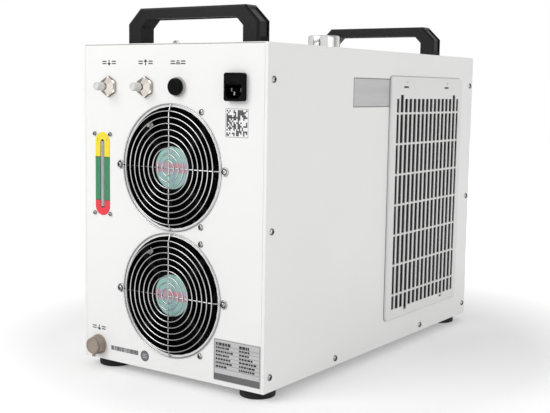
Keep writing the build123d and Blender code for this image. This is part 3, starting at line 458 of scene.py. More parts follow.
def plateFrom(outline, low, high, matrix, bevel=0.0):
    # A flat plate, with an eased upper edge where a bevel is given.
    count = len(outline)
    verts = [matrix @ Vector((x, y, h)) for h in (low, high - bevel) for x, y in outline]
    if bevel:
        reach = max(math.hypot(x, y) for x, y in outline)
        shrink = 1 - bevel / reach
        verts += [matrix @ Vector((x * shrink, y * shrink, high)) for x, y in outline]
    levels = len(verts) // count
    faces = ringFaces(levels, count)
    faces.append(tuple(range(count - 1, -1, -1)))
    faces.append(tuple(range((levels - 1) * count, levels * count)))
    return verts, faces


def wire(points, radius, closed=False, sides=10):
    # A round wire along points, with its frames carried from one point to the next.
    path = [Vector(p) for p in points]
    count = len(path)
    verts, faces = [], []
    side = None
    for i, point in enumerate(path):
        before = path[i - 1] if closed or i else path[i]
        after = path[(i + 1) % count] if closed or i < count - 1 else path[i]
        along = (after - before).normalized()
        if side is None:
            side = along.orthogonal().normalized()
        side = (side - along * side.dot(along)).normalized()
        other = along.cross(side)
        for k in range(sides):
            a = 2 * math.pi * k / sides
            verts.append(point + radius * (math.cos(a) * side + math.sin(a) * other))
    for i in range(count if closed else count - 1):
        n = (i + 1) % count
        for k in range(sides):
            m = (k + 1) % sides
            faces.append((i * sides + k, i * sides + m, n * sides + m, n * sides + k))
    if not closed:
        faces.append(tuple(range(sides - 1, -1, -1)))
        faces.append(tuple(range((count - 1) * sides, count * sides)))
    return verts, faces


# Screws

screw = {
    "head": 0.004, "rise": 0.0022, "recess": 0.0023, "slot": 0.0006, "depth": 0.0012,
    "gaugeHead": 0.0026, "gaugePlate": 0.0008,
}
# Setback from the back panel and height above the casing's underside, on each side
sideScrews = [
    (0.012, 0.018), (0.012, 0.190), (0.012, 0.364), (0.547, 0.017), (0.547, 0.190), (0.547, 0.3625),
    (0.159, 0.0095), (0.399, 0.009),
]
# Across from the casing's middle, and height above its underside
gaugeScrews = [(0.1112 + sx * 0.0134, 0.2423 + sz * 0.0508) for sx in (-1, 1) for sz in (-1, 1)]


def screwHead(matrix, radius=None):
    # A pan head with a cross recess pressed into its dome.
    r = radius or screw["head"]
    rings, count = 12, 40
    verts = []
    for j in range(rings + 1):
        for i in range(count):
            a = 2 * math.pi * i / count
            d = r * j / rings
            x, y = d * math.cos(a), d * math.sin(a)
            h = screw["rise"] * (1 - (d / r) ** 3) ** 0.5 if d < r else 0
            inCross = min(abs(x), abs(y)) < screw["slot"] and max(abs(x), abs(y)) < screw["recess"]
            verts.append(matrix @ Vector((x, y, h - (screw["depth"] if inCross else 0))))
    return verts, [(a, d, c, b) for a, b, c, d in ringFaces(rings + 1, count)]


def makeScrews():
    casing = []
    for back, height in sideScrews:
        for side, x in (("left", sideFace), ("right", -sideFace)):
            casing.append(screwHead(facing(side, (x, rearFace - back, underFace + height))))
    newPiece("coverScrews", *joined(casing), "screwChrome")
    small = []
    for x, height in gaugeScrews:
        at = facing("rear", (x, rearFace + screw["gaugePlate"], underFace + height))
        small.append(screwHead(at, screw["gaugeHead"]))
    newPiece("gaugeScrews", *joined(small), "screwChrome")


makeScrews()
print("screws made")


# Fan guards, stickers on the hubs, and their fixings

guard = {
    "wire": 0.0008, "first": 0.0093, "pitch": 0.00745, "count": 9, "outer": 0.0772,
    "rise": 0.0066, "ear": 0.0825, "eye": 0.0046, "washer": 0.0018, "spokeDrop": 1.8,
    "screwHead": 0.00375, "bodyScrews": (-0.047, 0.0685), "sticker": 0.026, "stickerDepth": 0.002,
}
cableClip = {
    "place": (0.041, 0.050), "setback": 0.008, "turn": 38, "size": (0.010, 0.0075), "ridge": (0.55, 0.4),
    "thick": 0.0012, "ridgeTop": 0.0035,
}
fanX = -0.003
fanHeights = {"lower": underFace + 0.0986, "upper": underFace + 0.2562}


def ringPoints(radius, x, y, z, count=96):
    turns = [2 * math.pi * i / count for i in range(count)]
    return [(x + radius * math.cos(a), y, z + radius * math.sin(a)) for a in turns]


def makeGuard(name, z):
    g = guard
    w = g["wire"]
    outer = g["outer"]
    top = rearFace + g["rise"] - w
    parts = [wire(ringPoints(outer, fanX, rearFace + w, z), w, closed=True)]
    for k in range(g["count"]):
        parts.append(wire(ringPoints(g["first"] + k * g["pitch"], fanX, top, z), w, closed=True))
    last = g["first"] + (g["count"] - 1) * g["pitch"]
    under = top - g["spokeDrop"] * w
    profile = [(-outer, rearFace + w), (-outer + 0.002, rearFace + 0.0018)]
    profile += [(-last - 0.0015, under - 0.001), (-last, under)]
    profile += [(-x, y) for x, y in reversed(profile)]
    for upright in (False, True):
        line = [(fanX, y, z + u) if upright else (fanX + u, y, z) for u, y in profile]
        parts.append(wire(line, w))
    ears = [fanX + side * g["ear"] for side in (-1, 1)]
    for ear in ears:
        # A loop of wire round each fixing screw at the ring's sides
        parts.append(wire(ringPoints(g["eye"], ear, rearFace + w, z, 32), w, closed=True))
    newPiece(f"guard_{name}", *joined(parts), "guardWire", smoothAngle=60)
    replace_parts(bpy.data.objects[f"guard_{name}"], f"fan_guard_{name}")
    across, along = g["bodyScrews"]
    heads = [(ear, g["washer"], z) for ear in ears]
    heads += [(fanX + across, 0, z + side * along) for side in (-1, 1)]
    screws = [screwHead(facing("rear", (x, rearFace + rise, h)), g["screwHead"]) for x, rise, h in heads]
    newPiece(f"guardScrews_{name}", *joined(screws), "screwChrome")


def bandRamp(tree, value, low, high, first, bands):
    # Bands of one colour each along a value from low to high. Each band gives its start and its colour.
    ramp = tree.nodes.new("ShaderNodeValToRGB")
    ramp.color_ramp.interpolation = "CONSTANT"
    stops = ramp.color_ramp.elements
    stops[0].color = first
    stops[1].position, stops[1].color = bands[0]
    for start, colour in bands[1:]:
        stops.new(start).color = colour
    tree.links.new(spanNode(tree, value, low, high).outputs["Result"], ramp.inputs["Fac"])
    return ramp.outputs["Color"]


def heightOf(tree, place):
    split = tree.nodes.new("ShaderNodeSeparateXYZ")
    tree.links.new(place, split.inputs[0])
    return split.outputs["Z"]


def addGloss(tree, shader, smooth, rough):
    gloss = useGroup(tree, glossDrift, Smooth=smooth, Rough=rough)
    tree.links.new(gloss.outputs["Roughness"], shader.inputs["Roughness"])


def makeStickerLook():
    # A pale teal disc with a pink band across it, both with patches of blue print.
    material, tree, shader = newLook("hubSticker")
    place = objectPlace(tree)
    mint, pink, blue = (0.34, 0.62, 0.54, 1), (0.72, 0.34, 0.4, 1), (0.42, 0.55, 0.68, 1)
    edge = guard["sticker"]
    bands = bandRamp(tree, heightOf(tree, place), -edge, edge, mint, [(0.385, pink), (0.61, mint)])
    share = spanNode(tree, noiseNode(tree, place, 110, 1), 0.45, 0.6)
    share.inputs["To Max"].default_value = 0.6
    tree.links.new(blendNode(tree, share.outputs["Result"], bands, blue, "RGBA"), shader.inputs["Base Color"])
    addGloss(tree, shader, 0.3, 0.45)
    return material


finish["hubSticker"] = makeStickerLook()


def makeSticker(name, z):
    r = guard["sticker"]
    profile = [(0, 0.0003), (r - 0.0004, 0.0003), (r, 0.0001), (r, 0)]
    disc = lathe(profile, 64, facing("rear", (0, 0, 0)))
    piece = newPiece(f"hubSticker_{name}", *disc, "hubSticker")
    piece.matrix_world = Matrix.Translation((fanX, rearFace - guard["stickerDepth"], z))
    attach(piece, "housing")


def makeCableClip(name, z):
    # The light cable clip that shows through the guard.
    c = cableClip
    at = facing("rear", (fanX + c["place"][0], rearFace - c["setback"], z + c["place"][1]))
    at = at @ Matrix.Rotation(math.radians(c["turn"]), 4, "Z")
    base = plateFrom(roundedOutline(*c["size"], 0.001, 4), 0, c["thick"], at, 0.0003)
    width, height = (size * share for size, share in zip(c["size"], c["ridge"]))
    ridge = plateFrom(roundedOutline(width, height, 0.0006, 4), c["thick"], c["ridgeTop"], at, 0.0003)
    newPiece(f"cableClip_{name}", *joined([base, ridge]), "terminalPlastic")


for name, z in fanHeights.items():
    makeGuard(name, z)
    makeSticker(name, z)
    makeCableClip(name, z)
print("fan guards made")


# Turned and hexagonal pieces

def middleOf(node):
    low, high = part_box(node)
    return (low + high) / 2


def onRear(spot):
    return facing("rear", (spot.x, rearFace, spot.z))


def hexForm(flats):
    # A hexagon with a corner upwards. Smaller radii stay round, as a nut's turned ends are.
    def form(r, a):
        edge = flats / 2 / math.cos((a - math.pi / 2) % (math.pi / 3) - math.pi / 6)
        return min(r, edge)
    return form


def flutedForm(radius, count, depth):
    # A gripping edge: the outermost radii go in and out with the angle.
    def form(r, a):
        share = max(0.0, math.cos(count * a)) ** 2
        return r - depth * share if r > radius - 2 * depth else r
    return form


def cone(low, high, lowFlats, highFlats, matrix):
    # A six-sided taper.
    corners = []
    for flats, h in ((lowFlats, low), (highFlats, high)):
        reach = flats / math.sqrt(3)
        for k in range(6):
            a = math.pi / 2 + k * math.pi / 3
            corners.append(matrix @ Vector((reach * math.cos(a), reach * math.sin(a), h)))
    faces = [(k, (k + 1) % 6, 6 + (k + 1) % 6, 6 + k) for k in range(6)]
    return corners, faces + [(5, 4, 3, 2, 1, 0), (6, 7, 8, 9, 10, 11)]


standing = Matrix(((1, 0, 0), (0, 0, 1), (0, 1, 0))).to_4x4()


def brick(x0, x1, y0, y1, z0, z1, ease=0.0002):
    # A block with the edges along Y and the rim of its +Y end eased.
    outline = roundedOutline(x1 - x0, z1 - z0, ease * 1.5, 2)
    return plateFrom(outline, y0, y1, Matrix.Translation(((x0 + x1) / 2, 0, (z0 + z1) / 2)) @ standing, ease)


fitting = {
    "flats": 0.0229, "hexDepth": 0.004, "taper": (0.0206, 0.0088), "taperEnd": 0.009, "neck": 0.00325,
    "reach": 0.020, "bore": 0.002, "stub": 0.008, "stubDepth": 0.016, "capRadius": 0.0053, "capShift": 0.0022,
    "collar": 0.0044, "collarEnd": 0.0126, "collarEase": 0.0004,
}


def makeFittings():
    f = fitting
    parts = []
    corner = f["flats"] / math.sqrt(3)
    d, bore, neck, reach = f["hexDepth"], f["bore"], f["neck"], f["reach"]
    nut = [(0, 0), (corner - 0.0004, 0), (corner, 0.0003), (corner, d - 0.0009)]
    nut += [(corner - 0.0007, d - 0.0003), (corner - 0.0015, d), (0, d)]
    tube = [(bore, -f["stubDepth"]), (f["stub"], -f["stubDepth"]), (f["stub"], 0), (f["collar"], 0)]
    tube += [(f["collar"], f["collarEnd"]), (neck, f["collarEnd"] + f["collarEase"]), (neck, reach - 0.0004)]
    tube += [(neck - 0.0004, reach), (bore, reach), (bore, -f["stubDepth"])]
    for name in ("inlet", "outlet"):
        spot = middleOf(f"{name}_dust_cap")
        at = onRear(spot)
        parts.append(lathe(nut, 120, at, hexForm(f["flats"])))
        parts.append(cone(d, f["taperEnd"], *f["taper"], at))
        parts.append(lathe(tube, 40, at))
        makeDustCap(name, spot)
    newPiece("fittingBodies", *joined(parts), "nickelPlate", smoothAngle=25)
    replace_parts(bpy.data.objects["fittingBodies"], "water_fittings")


def makeDustCap(name, spot):
    low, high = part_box(f"{name}_dust_cap")
    start, r = low.y + fitting["capShift"], fitting["capRadius"]
    length = high.y - start
    inner = fitting["neck"] + 0.0001
    profile = [(inner, 0), (r, 0), (r + 0.0001, 0.0005), (r, 0.0013), (r - 0.0002, 0.0017)]
    profile += [(r - 0.00025, length - 0.0016), (r - 0.0006, length - 0.0006), (r - 0.0011, length - 0.0001)]
    profile += [(r - 0.0016, length), (r - 0.0021, length - 0.0006), (0, length - 0.0008)]
    profile += [(0, length - 0.002), (inner, length - 0.0022), (inner, 0)]
    skin = lathe(profile, 48, facing("rear", (spot.x, start, spot.z)))
    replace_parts(newPiece(f"{name}CapSkin", *skin, "dustCapPlastic", f"{name}_cap", 30), f"{name}_dust_cap")


alarm = {
    "ring": 0.012, "ringDepth": 0.0025, "barrel": 0.008, "barrelReach": 0.0055, "bodyDepth": 0.014,
    "cap": 0.0103,
}


def makeAlarm():
    spot = middleOf("alarm_cap")
    low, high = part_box("alarm_cap")
    at = onRear(spot)
    radius, depth, barrel, reach = (alarm[k] for k in ("ring", "ringDepth", "barrel", "barrelReach"))
    ring = [(0, -alarm["bodyDepth"]), (barrel, -alarm["bodyDepth"]), (barrel, 0), (radius, 0)]
    ring += [(radius, depth - 0.0006), (radius - 0.0006, depth), (barrel + 0.0004, depth), (barrel, reach)]
    ring += [(barrel - 0.001, reach), (barrel - 0.0012, 0), (0, 0)]
    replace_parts(newPiece("alarmRing", *lathe(ring, 72, at), "paleRing"), "alarm_socket")
    start, end, r = low.y - rearFace, high.y - rearFace, alarm["cap"]
    inner = barrel + 0.0004
    cap = [(inner, start), (r - 0.0003, start), (r, start + 0.0004), (r, end - 0.001)]
    cap += [(r - 0.0003, end - 0.0004), (r - 0.001, end), (r - 0.0024, end), (r - 0.0028, end - 0.0004)]
    cap += [(0, end - 0.0004), (0, end - 0.0015), (inner, end - 0.0016), (inner, start)]
    skin = lathe(cap, 144, at, flutedForm(r, 24, 0.0003))
    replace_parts(newPiece("alarmCapSkin", *skin, "darkPlastic", "alarm_screw_cap", 30), "alarm_cap")


drain = {
    "flange": 0.013, "flangeDepth": 0.0025, "flats": 0.022, "hexEnd": 0.010, "stub": 0.0086,
    "stubDepth": 0.016, "cap": 0.0104, "tabShift": 0.0093, "tabWidth": 0.003, "tabTop": 0.008, "bore": 0.007,
    "capGap": 0.0003,
}


def makeDrain():
    d = drain
    spot = middleOf("drain_cap")
    low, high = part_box("drain_cap")
    at = onRear(spot)
    corner = d["flats"] / math.sqrt(3)
    bore, stub, deep = d["bore"], d["stub"], d["stubDepth"]
    wide, rise, top = d["flange"], d["flangeDepth"], d["hexEnd"]
    flange = [(bore, -deep), (stub, -deep), (stub, 0), (wide, 0), (wide, rise - 0.0005)]
    flange += [(wide - 0.0005, rise), (bore, rise), (bore, -deep)]
    nut = [(bore, rise), (corner - 0.0006, rise), (corner, rise + 0.0005), (corner, top - 0.001)]
    nut += [(corner - 0.0008, top - 0.0004), (corner - 0.0018, top), (bore, top), (bore, rise)]
    parts = [lathe(flange, 72, at), lathe(nut, 120, at, hexForm(d["flats"]))]
    tab, half = spot.x + d["tabShift"], d["tabWidth"] / 2
    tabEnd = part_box("drain_body")[0].z
    parts.append(brick(tab - half, tab + half, rearFace, rearFace + rise, tabEnd, spot.z - d["tabTop"]))
    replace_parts(newPiece("drainSocket", *joined(parts), "drainPlastic", smoothAngle=25), "drain_body")
    start, end, r = low.y - rearFace, high.y - rearFace, d["cap"]
    seat, plug = top + d["capGap"], bore - 0.0004
    cap = [(0, start), (plug, start), (plug, seat), (r - 0.0003, seat), (r, seat + 0.0004)]
    cap += [(r, end - 0.0008), (r - 0.0003, end - 0.0002), (r - 0.0009, end), (r - 0.0017, end)]
    cap += [(r - 0.0021, end - 0.0007), (r - 0.005, end - 0.0009), (0, end - 0.001)]
    skin = lathe(cap, 120, at, flutedForm(r, 30, 0.00015))
    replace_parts(newPiece("drainCapSkin", *skin, "drainPlastic", "drain_screw_cap", 30), "drain_cap")


fillBore = 0.0152


def makeTopCaps():
    spot = middleOf("fill_cap")
    low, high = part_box("fill_cap")
    r, rise, bore = (high.x - low.x) / 2, high.z - low.z, fillBore
    profile = [(bore, 0), (r - 0.0006, 0), (r, 0.0006), (r, 0.0024), (r - 0.0005, 0.003)]
    profile += [(r - 0.0005, rise - 0.0034), (r - 0.0008, rise - 0.002), (r - 0.0016, rise - 0.0008)]
    profile += [(r - 0.003, rise - 0.0001), (r - 0.0045, rise), (r - 0.006, rise - 0.0003)]
    profile += [(0, rise - 0.0003), (0, rise - 0.0022), (bore, rise - 0.0024), (bore, 0)]
    skin = lathe(profile, 144, facing("top", (spot.x, spot.y, low.z)))
    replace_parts(newPiece("fillCapSkin", *skin, "capChrome", "filler_cap", 30), "fill_cap")
    spot = middleOf("vent_plug")
    low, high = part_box("vent_plug")
    r, rise = (high.x - low.x) / 2, high.z - low.z
    dome = [(0, 0), (r - 0.0004, 0), (r, 0.0004), (r, 0.0016), (r - 0.0007, 0.0021)]
    for i in range(11):
        t = math.pi / 2 * i / 10
        dome.append(((r - 0.0007) * math.cos(t), 0.0024 + (rise - 0.0024) * math.sin(t)))
    skin = lathe(dome, 64, facing("top", (spot.x, spot.y, low.z)))
    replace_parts(newPiece("ventDome", *skin, "capChrome"), "vent_plug")


foot = {"radius": 0.0218, "inset": 0.029, "hole": 0.0055, "holeDepth": 0.0045}


def makeFeet():
    r, h = foot["radius"], underFace
    hole, deep = foot["hole"], foot["holeDepth"]
    profile = [(0, deep), (hole, deep), (hole, 0.0006), (hole + 0.0007, 0), (r - 0.0016, 0)]
    profile += [(r - 0.0006, 0.0004), (r, 0.0014), (r, h - 0.0008), (r - 0.0005, h - 0.0002)]
    profile += [(r - 0.001, h), (0, h)]
    parts = []
    for x in (-1, 1):
        for y in (frontFace + foot["inset"], rearFace - foot["inset"]):
            parts.append(lathe(profile, 72, facing("top", (x * (sideFace - foot["inset"]), y, 0))))
    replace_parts(newPiece("rubberFeet", *joined(parts), "footRubber", smoothAngle=30), "feet")


makeFittings()
makeAlarm()
makeDrain()
makeTopCaps()
makeFeet()
print("turned pieces made")


# Level gauge

gauge = {
    "slotWidth": 0.0072, "slotHeight": 0.088, "redTop": 0.2083, "greenTop": 0.2636, "line": 0.0004,
    "wall": 0.0008, "float": (0.0065, 0.0012), "marks": (0.226, 0.250, 0.286), "markShift": 0.0078,
    "markHalf": (0.0003, 0.0016), "markRise": 0.0001,
}


def capsule(width, height, count=16):
    r = width / 2
    points = []
    for first, middle in ((0, height / 2 - r), (180, r - height / 2)):
        for i in range(count + 1):
            a = math.radians(first + 180 * i / count)
            points.append((r * math.cos(a), middle + r * math.sin(a)))
    return points


def windowedPlate(outer, inner, low, high, ease, matrix):
    # A flat plate with an opening and its outer front edge eased. Both outlines have as many points.
    grown = [(x * (1 - ease / max(abs(x), 1e-4) if abs(x) > ease else 1), y) for x, y in outer]
    rings = [(inner, low), (outer, low), (outer, high - ease), (grown, high), (inner, high), (inner, low)]
    count = len(outer)
    verts = [matrix @ Vector((x, y, h)) for ring, h in rings for x, y in ring]
    return verts, ringFaces(len(rings), count)


def makeGaugeLook():
    # Three bands of colour by height, parted by thin dark lines.
    material, tree, shader = newLook("gaugeBands")
    low, high = (corner.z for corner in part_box("level_gauge"))
    red, green = (0.78, 0.012, 0.035, 1), (0.012, 0.2, 0.08, 1)
    yellow, dark = (0.85, 0.68, 0.01, 1), (0.02, 0.02, 0.02, 1)
    line = gauge["line"] / (high - low)
    first, second = ((underFace + gauge[k] - low) / (high - low) for k in ("redTop", "greenTop"))
    bands = [(first - line, dark), (first + line, green), (second - line, dark), (second + line, yellow)]
    colour = bandRamp(tree, heightOf(tree, objectPlace(tree)), low, high, red, bands)
    tree.links.new(colour, shader.inputs["Base Color"])
    addGloss(tree, shader, 0.3, 0.42)
    return material


finish["gaugeBands"] = makeGaugeLook()


def makeGauge():
    low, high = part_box("level_gauge")
    spot, front = middleOf("level_gauge"), high.y
    outer = capsule(high.x - low.x, high.z - low.z)
    inner = capsule(gauge["slotWidth"], gauge["slotHeight"])
    plate = windowedPlate(outer, inner, 0, high.y - low.y, 0.0002, onRear(spot))
    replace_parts(newPiece("gaugePlate", *plate, "gaugeBands"), "level_gauge")
    low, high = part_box("sight_tube")
    tube = middleOf("sight_tube")
    r, length = (high.x - low.x) / 2, high.z - low.z
    inside = r - gauge["wall"]
    at = facing("top", (tube.x, tube.y, low.z))
    profile = [(inside, 0), (r, 0), (r, length), (inside, length), (inside, 0)]
    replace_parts(newPiece("sightTubeSkin", *lathe(profile, 40, at), "clearTube"), "sight_tube")
    bottom, top = (length - drop for drop in gauge["float"])
    stop = [(0, bottom), (inside - 0.0001, bottom), (inside - 0.0001, top), (0, top)]
    newPiece("gaugeFloat", *lathe(stop, 32, at), "labelPaper")
    marks = []
    wide, tall = gauge["markHalf"]
    rise = front + gauge["markRise"]
    for side in (-1, 1):
        for height in gauge["marks"]:
            x, z = spot.x + side * gauge["markShift"], underFace + height
            marks.append(brick(x - wide, x + wide, front, rise, z - tall, z + tall, 0.00005))
    newPiece("gaugeMarks", *joined(marks), "labelInk")


makeGauge()
print("level gauge made")


# Stickers, plates and marks. They hold generic bars and cells, and no words.

sticker = {"thick": 0.00012, "ink": 0.00005, "corner": 0.0012}


def flatPiece(side, place, width, height, corner, low, high, at=(0, 0)):
    matrix = facing(side, place) @ Matrix.Translation((at[0], at[1], 0))
    return plateFrom(roundedOutline(width, height, corner, 4), low, high, matrix)


def makeLabel(name, side, place, size, look, corner=None):
    piece = flatPiece(side, place, *size, corner or sticker["corner"], 0, sticker["thick"])
    newPiece(name, *piece, look)


def makeInk(name, side, place, boxes, look="labelInk"):
    # boxes holds (x, y, width, height) on the label, from its middle.
    low, high = sticker["thick"], sticker["thick"] + sticker["ink"]
    parts = [flatPiece(side, place, w, h, min(w, h) * 0.1, low, high, (x, y)) for x, y, w, h in boxes]
    newPiece(name, *joined(parts), look)


def rimBars(reach, size, line):
    # Four bars round a label: how far their middles lie from its own, and how long they are.
    bars = [(0, side * reach[1], size[0], line) for side in (-1, 1)]
    return bars + [(side * reach[0], 0, line, size[1]) for side in (-1, 1)]


# Places are across from the casing's middle and above its underside.
codeLabel = {
    "place": (-0.1023, 0.3135), "size": (0.0345, 0.035), "cells": 15, "cell": 0.0020, "fill": 0.96,
    "inked": 0.52, "rim": ((0.0161, 0.0163), (0.0325, 0.0325), 0.0005),
}
ratingLabel = {
    "place": (-0.10575, 0.031), "size": (0.0695, 0.051), "rows": 7, "pitch": 0.0046, "first": 0.0195,
    "columns": ((-0.0315, 0.014), (0.0035, 0.010)), "spread": 0.012, "word": (0.0015, 0.003), "space": 0.0007,
    "heights": (0.0036, 0.0025), "rule": (0.0172, 0.066, 0.0003), "band": (0, -0.0205, 0.0675, 0.0075),
    "rim": ((0.0333, 0.0245), (0.067, 0.0490), 0.0004),
}
barLabel = {
    "place": (0.0741, 0.017), "size": (0.0512, 0.008), "corner": 0.0006, "half": 0.0235,
    "bars": (0.0008, 0.0013, 0.0019), "gaps": (0.0004, 0.0006, 0.0008), "bar": (0.0004, 0.0058),
}
roundLabel = {"place": (0.0394, 0.0156), "radius": 0.007, "pitch": 0.0022, "bar": (0.0078, 0.0012, 0.0008)}


def rearPlace(label):
    across, height = label["place"]
    return across, rearFace, underFace + height


def makeCodeSticker(draw):
    c = codeLabel
    place = rearPlace(c)
    makeLabel("codeSticker", "rear", place, c["size"], "labelPaper")
    middle = (c["cells"] - 1) / 2
    wide = c["cell"] * c["fill"]
    inked = []
    for i in range(c["cells"]):
        for j in range(c["cells"]):
            if draw.random() < c["inked"]:
                inked.append(((i - middle) * c["cell"], (j - middle) * c["cell"], wide, wide))
    makeInk("codeCells", "rear", place, inked)
    makeInk("codeRim", "rear", place, rimBars(*c["rim"]), "greySticker")


def makeRatingPlate(draw):
    r = ratingLabel
    place = rearPlace(r)
    makeLabel("ratingPlate", "rear", place, r["size"], "silverPlate")
    lines = []
    least, spread = r["word"]
    for row in range(r["rows"]):
        y = r["first"] - row * r["pitch"]
        for start, length in r["columns"]:
            edge, end = start, start + length + r["spread"] * draw.random()
            while edge < end:
                wide = least + spread * draw.random()
                lines.append((edge + wide / 2, y, wide, r["heights"][1 if row else 0]))
                edge += wide + r["space"]
    top, across, thin = r["rule"]
    lines += [(0, top - r["pitch"] * row, across, thin) for row in range(r["rows"])]
    makeInk("ratingLines", "rear", place, lines + rimBars(*r["rim"]))
    makeInk("ratingBand", "rear", place, [r["band"]], "greySticker")


def makeBarSticker(draw):
    b = barLabel
    place = rearPlace(b)
    makeLabel("barSticker", "rear", place, b["size"], "labelPaper", b["corner"])
    strips = []
    y, tall = b["bar"]
    x = -b["half"]
    while x < b["half"]:
        wide = draw.choice(b["bars"])
        strips.append((x + wide / 2, y, wide, tall))
        x += wide + draw.choice(b["gaps"])
    makeInk("barStrips", "rear", place, strips)


def makeRoundSticker():
    r = roundLabel
    place = rearPlace(r)
    disc = [(0, 0), (r["radius"], 0), (r["radius"], sticker["thick"]), (0, sticker["thick"])]
    newPiece("roundSticker", *lathe(disc, 48, facing("rear", place)), "greySticker")
    long, less, tall = r["bar"]
    bars = [(0, r["pitch"] * k, long - less * abs(k), tall) for k in (-1, 0, 1)]
    makeInk("roundStickerBars", "rear", place, bars, "silverPlate")


def makeRearLabels():
    draw = random.Random(7)
    makeCodeSticker(draw)
    makeRatingPlate(draw)
    makeBarSticker(draw)
    makeRoundSticker()


panelMark = {
    "height": 0.383, "drainGap": 0.0225, "side": 0.0062, "row": 0.0011, "bar": (0.0054, 0.0011), "bold": 1.3,
}


def arrow(up):
    # A stem and a stepped head, as (x, y, width, height) bars.
    head = [(0, up * (0.0026 - 0.0006 * k), 0.0010 + 0.0012 * k, 0.00062) for k in range(4)]
    return [(0, -up * 0.0010, 0.0012, 0.0034)] + head


def makeMarks():
    # An arrow or a small stack, with two bars on each side, above each connector.
    m = panelMark
    height = underFace + m["height"]
    inlet, outlet, horn = (middleOf(n) for n in ("inlet_dust_cap", "outlet_dust_cap", "alarm_cap"))
    drop = middleOf("drain_cap")
    stack = [(0, 0.0007 * k, 0.0044 - 0.0008 * k, 0.0009) for k in (-2, 0, 2)]
    rows = [(inlet.x, height, arrow(-1)), (outlet.x, height, arrow(1))]
    rows += [(drop.x, drop.z + m["drainGap"], arrow(-1)), (horn.x, height, stack)]
    bars = [(side * m["side"], row, *m["bar"]) for side in (-1, 1) for row in (-m["row"], m["row"])]
    for i, (x, z, boxes) in enumerate(rows):
        bold = [tuple(v * m["bold"] for v in box) for box in boxes + bars]
        makeInk(f"panelMark_{i + 1}", "rear", (x, rearFace - sticker["thick"], z), bold)


sidePlate = {
    "setback": 0.23775, "height": 0.3503, "size": (0.0965, 0.038),
    "rim": ((0.0476, 0.0184), (0.0962, 0.0376), 0.0011),
}


def makeSidePlate():
    place = (-sideFace, rearFace - sidePlate["setback"], underFace + sidePlate["height"])
    makeLabel("sidePlate", "right", place, sidePlate["size"], "silverPlate")
    makeInk("sidePlateRim", "right", place, rimBars(*sidePlate["rim"]), "greySticker")


def makeSeamShadow():
    # A dark strip along the joint between the back panel's top and the cover: painted shadow of the gap
    # there.
    low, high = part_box("rear_panel")
    wide, proud = 0.0006, 0.0001
    seam = brick(low.x, high.x, rearFace - 0.001, rearFace + proud, high.z, high.z + wide, 0.00005)
    newPiece("panelSeamShadow", *seam, "clipBrown")


makeSeamShadow()
makeRearLabels()
makeMarks()
makeSidePlate()
print("labels made")


# Side grilles: flush cross ribs, clip tongues coloured as painted shade, and a painted shadow line round the
# rim

grille = {
    "low": 0.034, "height": 0.339, "back": 0.286, "length": 0.225, "ribs": 7, "ribHeight": 0.0021,
    "ribDepth": 0.0014, "sill": 0.0145, "header": 0.0307, "ribMargin": 0.020, "slotMargin": 0.0101,
    "flush": 0.0002, "clipWidth": 0.0138, "clipHeight": 0.0026, "clipDepth": 0.0022, "clipDrop": 0.0145,
    "clipSpread": 0.128, "clipShift": 0.008, "arrowShift": 0.003, "arrowRise": 0.0056,
    "sealGrow": 0.0012, "sealShrink": 0.004,
}


def makeGrilleDetail(side, body):
    g = grille
    low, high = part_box(f"side_grille_{body}")
    face = high.x if side > 0 else -low.x
    y1 = rearFace - g["back"]
    y0 = y1 - g["length"]
    z0 = underFace + g["low"]
    z1 = z0 + g["height"]

    def slab(depth, proud, y, width, z, height, ease=0.0002):
        # A block from a depth behind the grille's face, centred at y and z.
        x = sorted((side * (face - depth), side * (face - proud)))
        return brick(*x, y - width / 2, y + width / 2, z - height / 2, z + height / 2, ease)

    first, last = z0 + g["sill"] + g["ribMargin"], z1 - g["header"] - g["ribMargin"]
    ribs, tongues, arrows = [], [], []
    for i in range(g["ribs"]):
        z = first + (last - first) * i / (g["ribs"] - 1)
        wide = g["length"] - 2 * g["slotMargin"]
        ribs.append(slab(g["ribDepth"], g["flush"], (y0 + y1) / 2, wide, z, g["ribHeight"]))
    newPiece(f"grilleRibs_{body}", *joined(ribs), "grillePlastic", f"{body}_grille")
    # Dark tongues fill the clip windows: latch tongues, their dark brown colour painted shade of the recess
    # behind each window.
    for end in (-1, 1):
        y = (y0 + y1) / 2 + g["clipShift"] + end * g["clipSpread"] / 2
        z = z1 - g["clipDrop"]
        tongues.append(slab(g["clipDepth"], g["flush"], y, g["clipWidth"], z, g["clipHeight"]))
        for k in range(3):
            wide, top = 0.0010 + 0.0014 * k, z + g["arrowRise"] + k * 0.0007
            arrows.append(slab(0.0004, 0, y - g["arrowShift"], wide, top, 0.0008, 0.00005))
    newPiece(f"clipTongues_{body}", *joined(tongues), "clipBrown", f"{body}_grille")
    newPiece(f"clipArrows_{body}", *joined(arrows), "greySticker", f"{body}_grille")
    # A thin dark strip round the grille's rim: painted shadow of the gap between grille and cover.
    matrix = facing("left" if side > 0 else "right", (side * sideFace, (y0 + y1) / 2, (z0 + z1) / 2))
    outer = roundedOutline(g["length"] + g["sealGrow"], g["height"] + g["sealGrow"], 0.0066, 6)
    inner = roundedOutline(g["length"] - g["sealShrink"], g["height"] - g["sealShrink"], 0.004, 6)
    newPiece(f"grilleRimShadow_{body}", *windowedPlate(outer, inner, 0, 0.00025, 0.0001, matrix), "labelInk")


makeGrilleDetail(1, "left")
makeGrilleDetail(-1, "right")
print("grille detail made")


# Fins and tubes of the two condensers, seen when a grille is tilted out

condenser = {
    "finPitch": 0.0021, "finThick": 0.0002, "finDepth": 0.0072, "margin": 0.007, "low": 0.026,
    "proud": 0.0001, "rows": 12, "tube": 0.00315, "firstTube": 0.012, "lastTube": 0.018, "tubeMargin": 0.002,
}


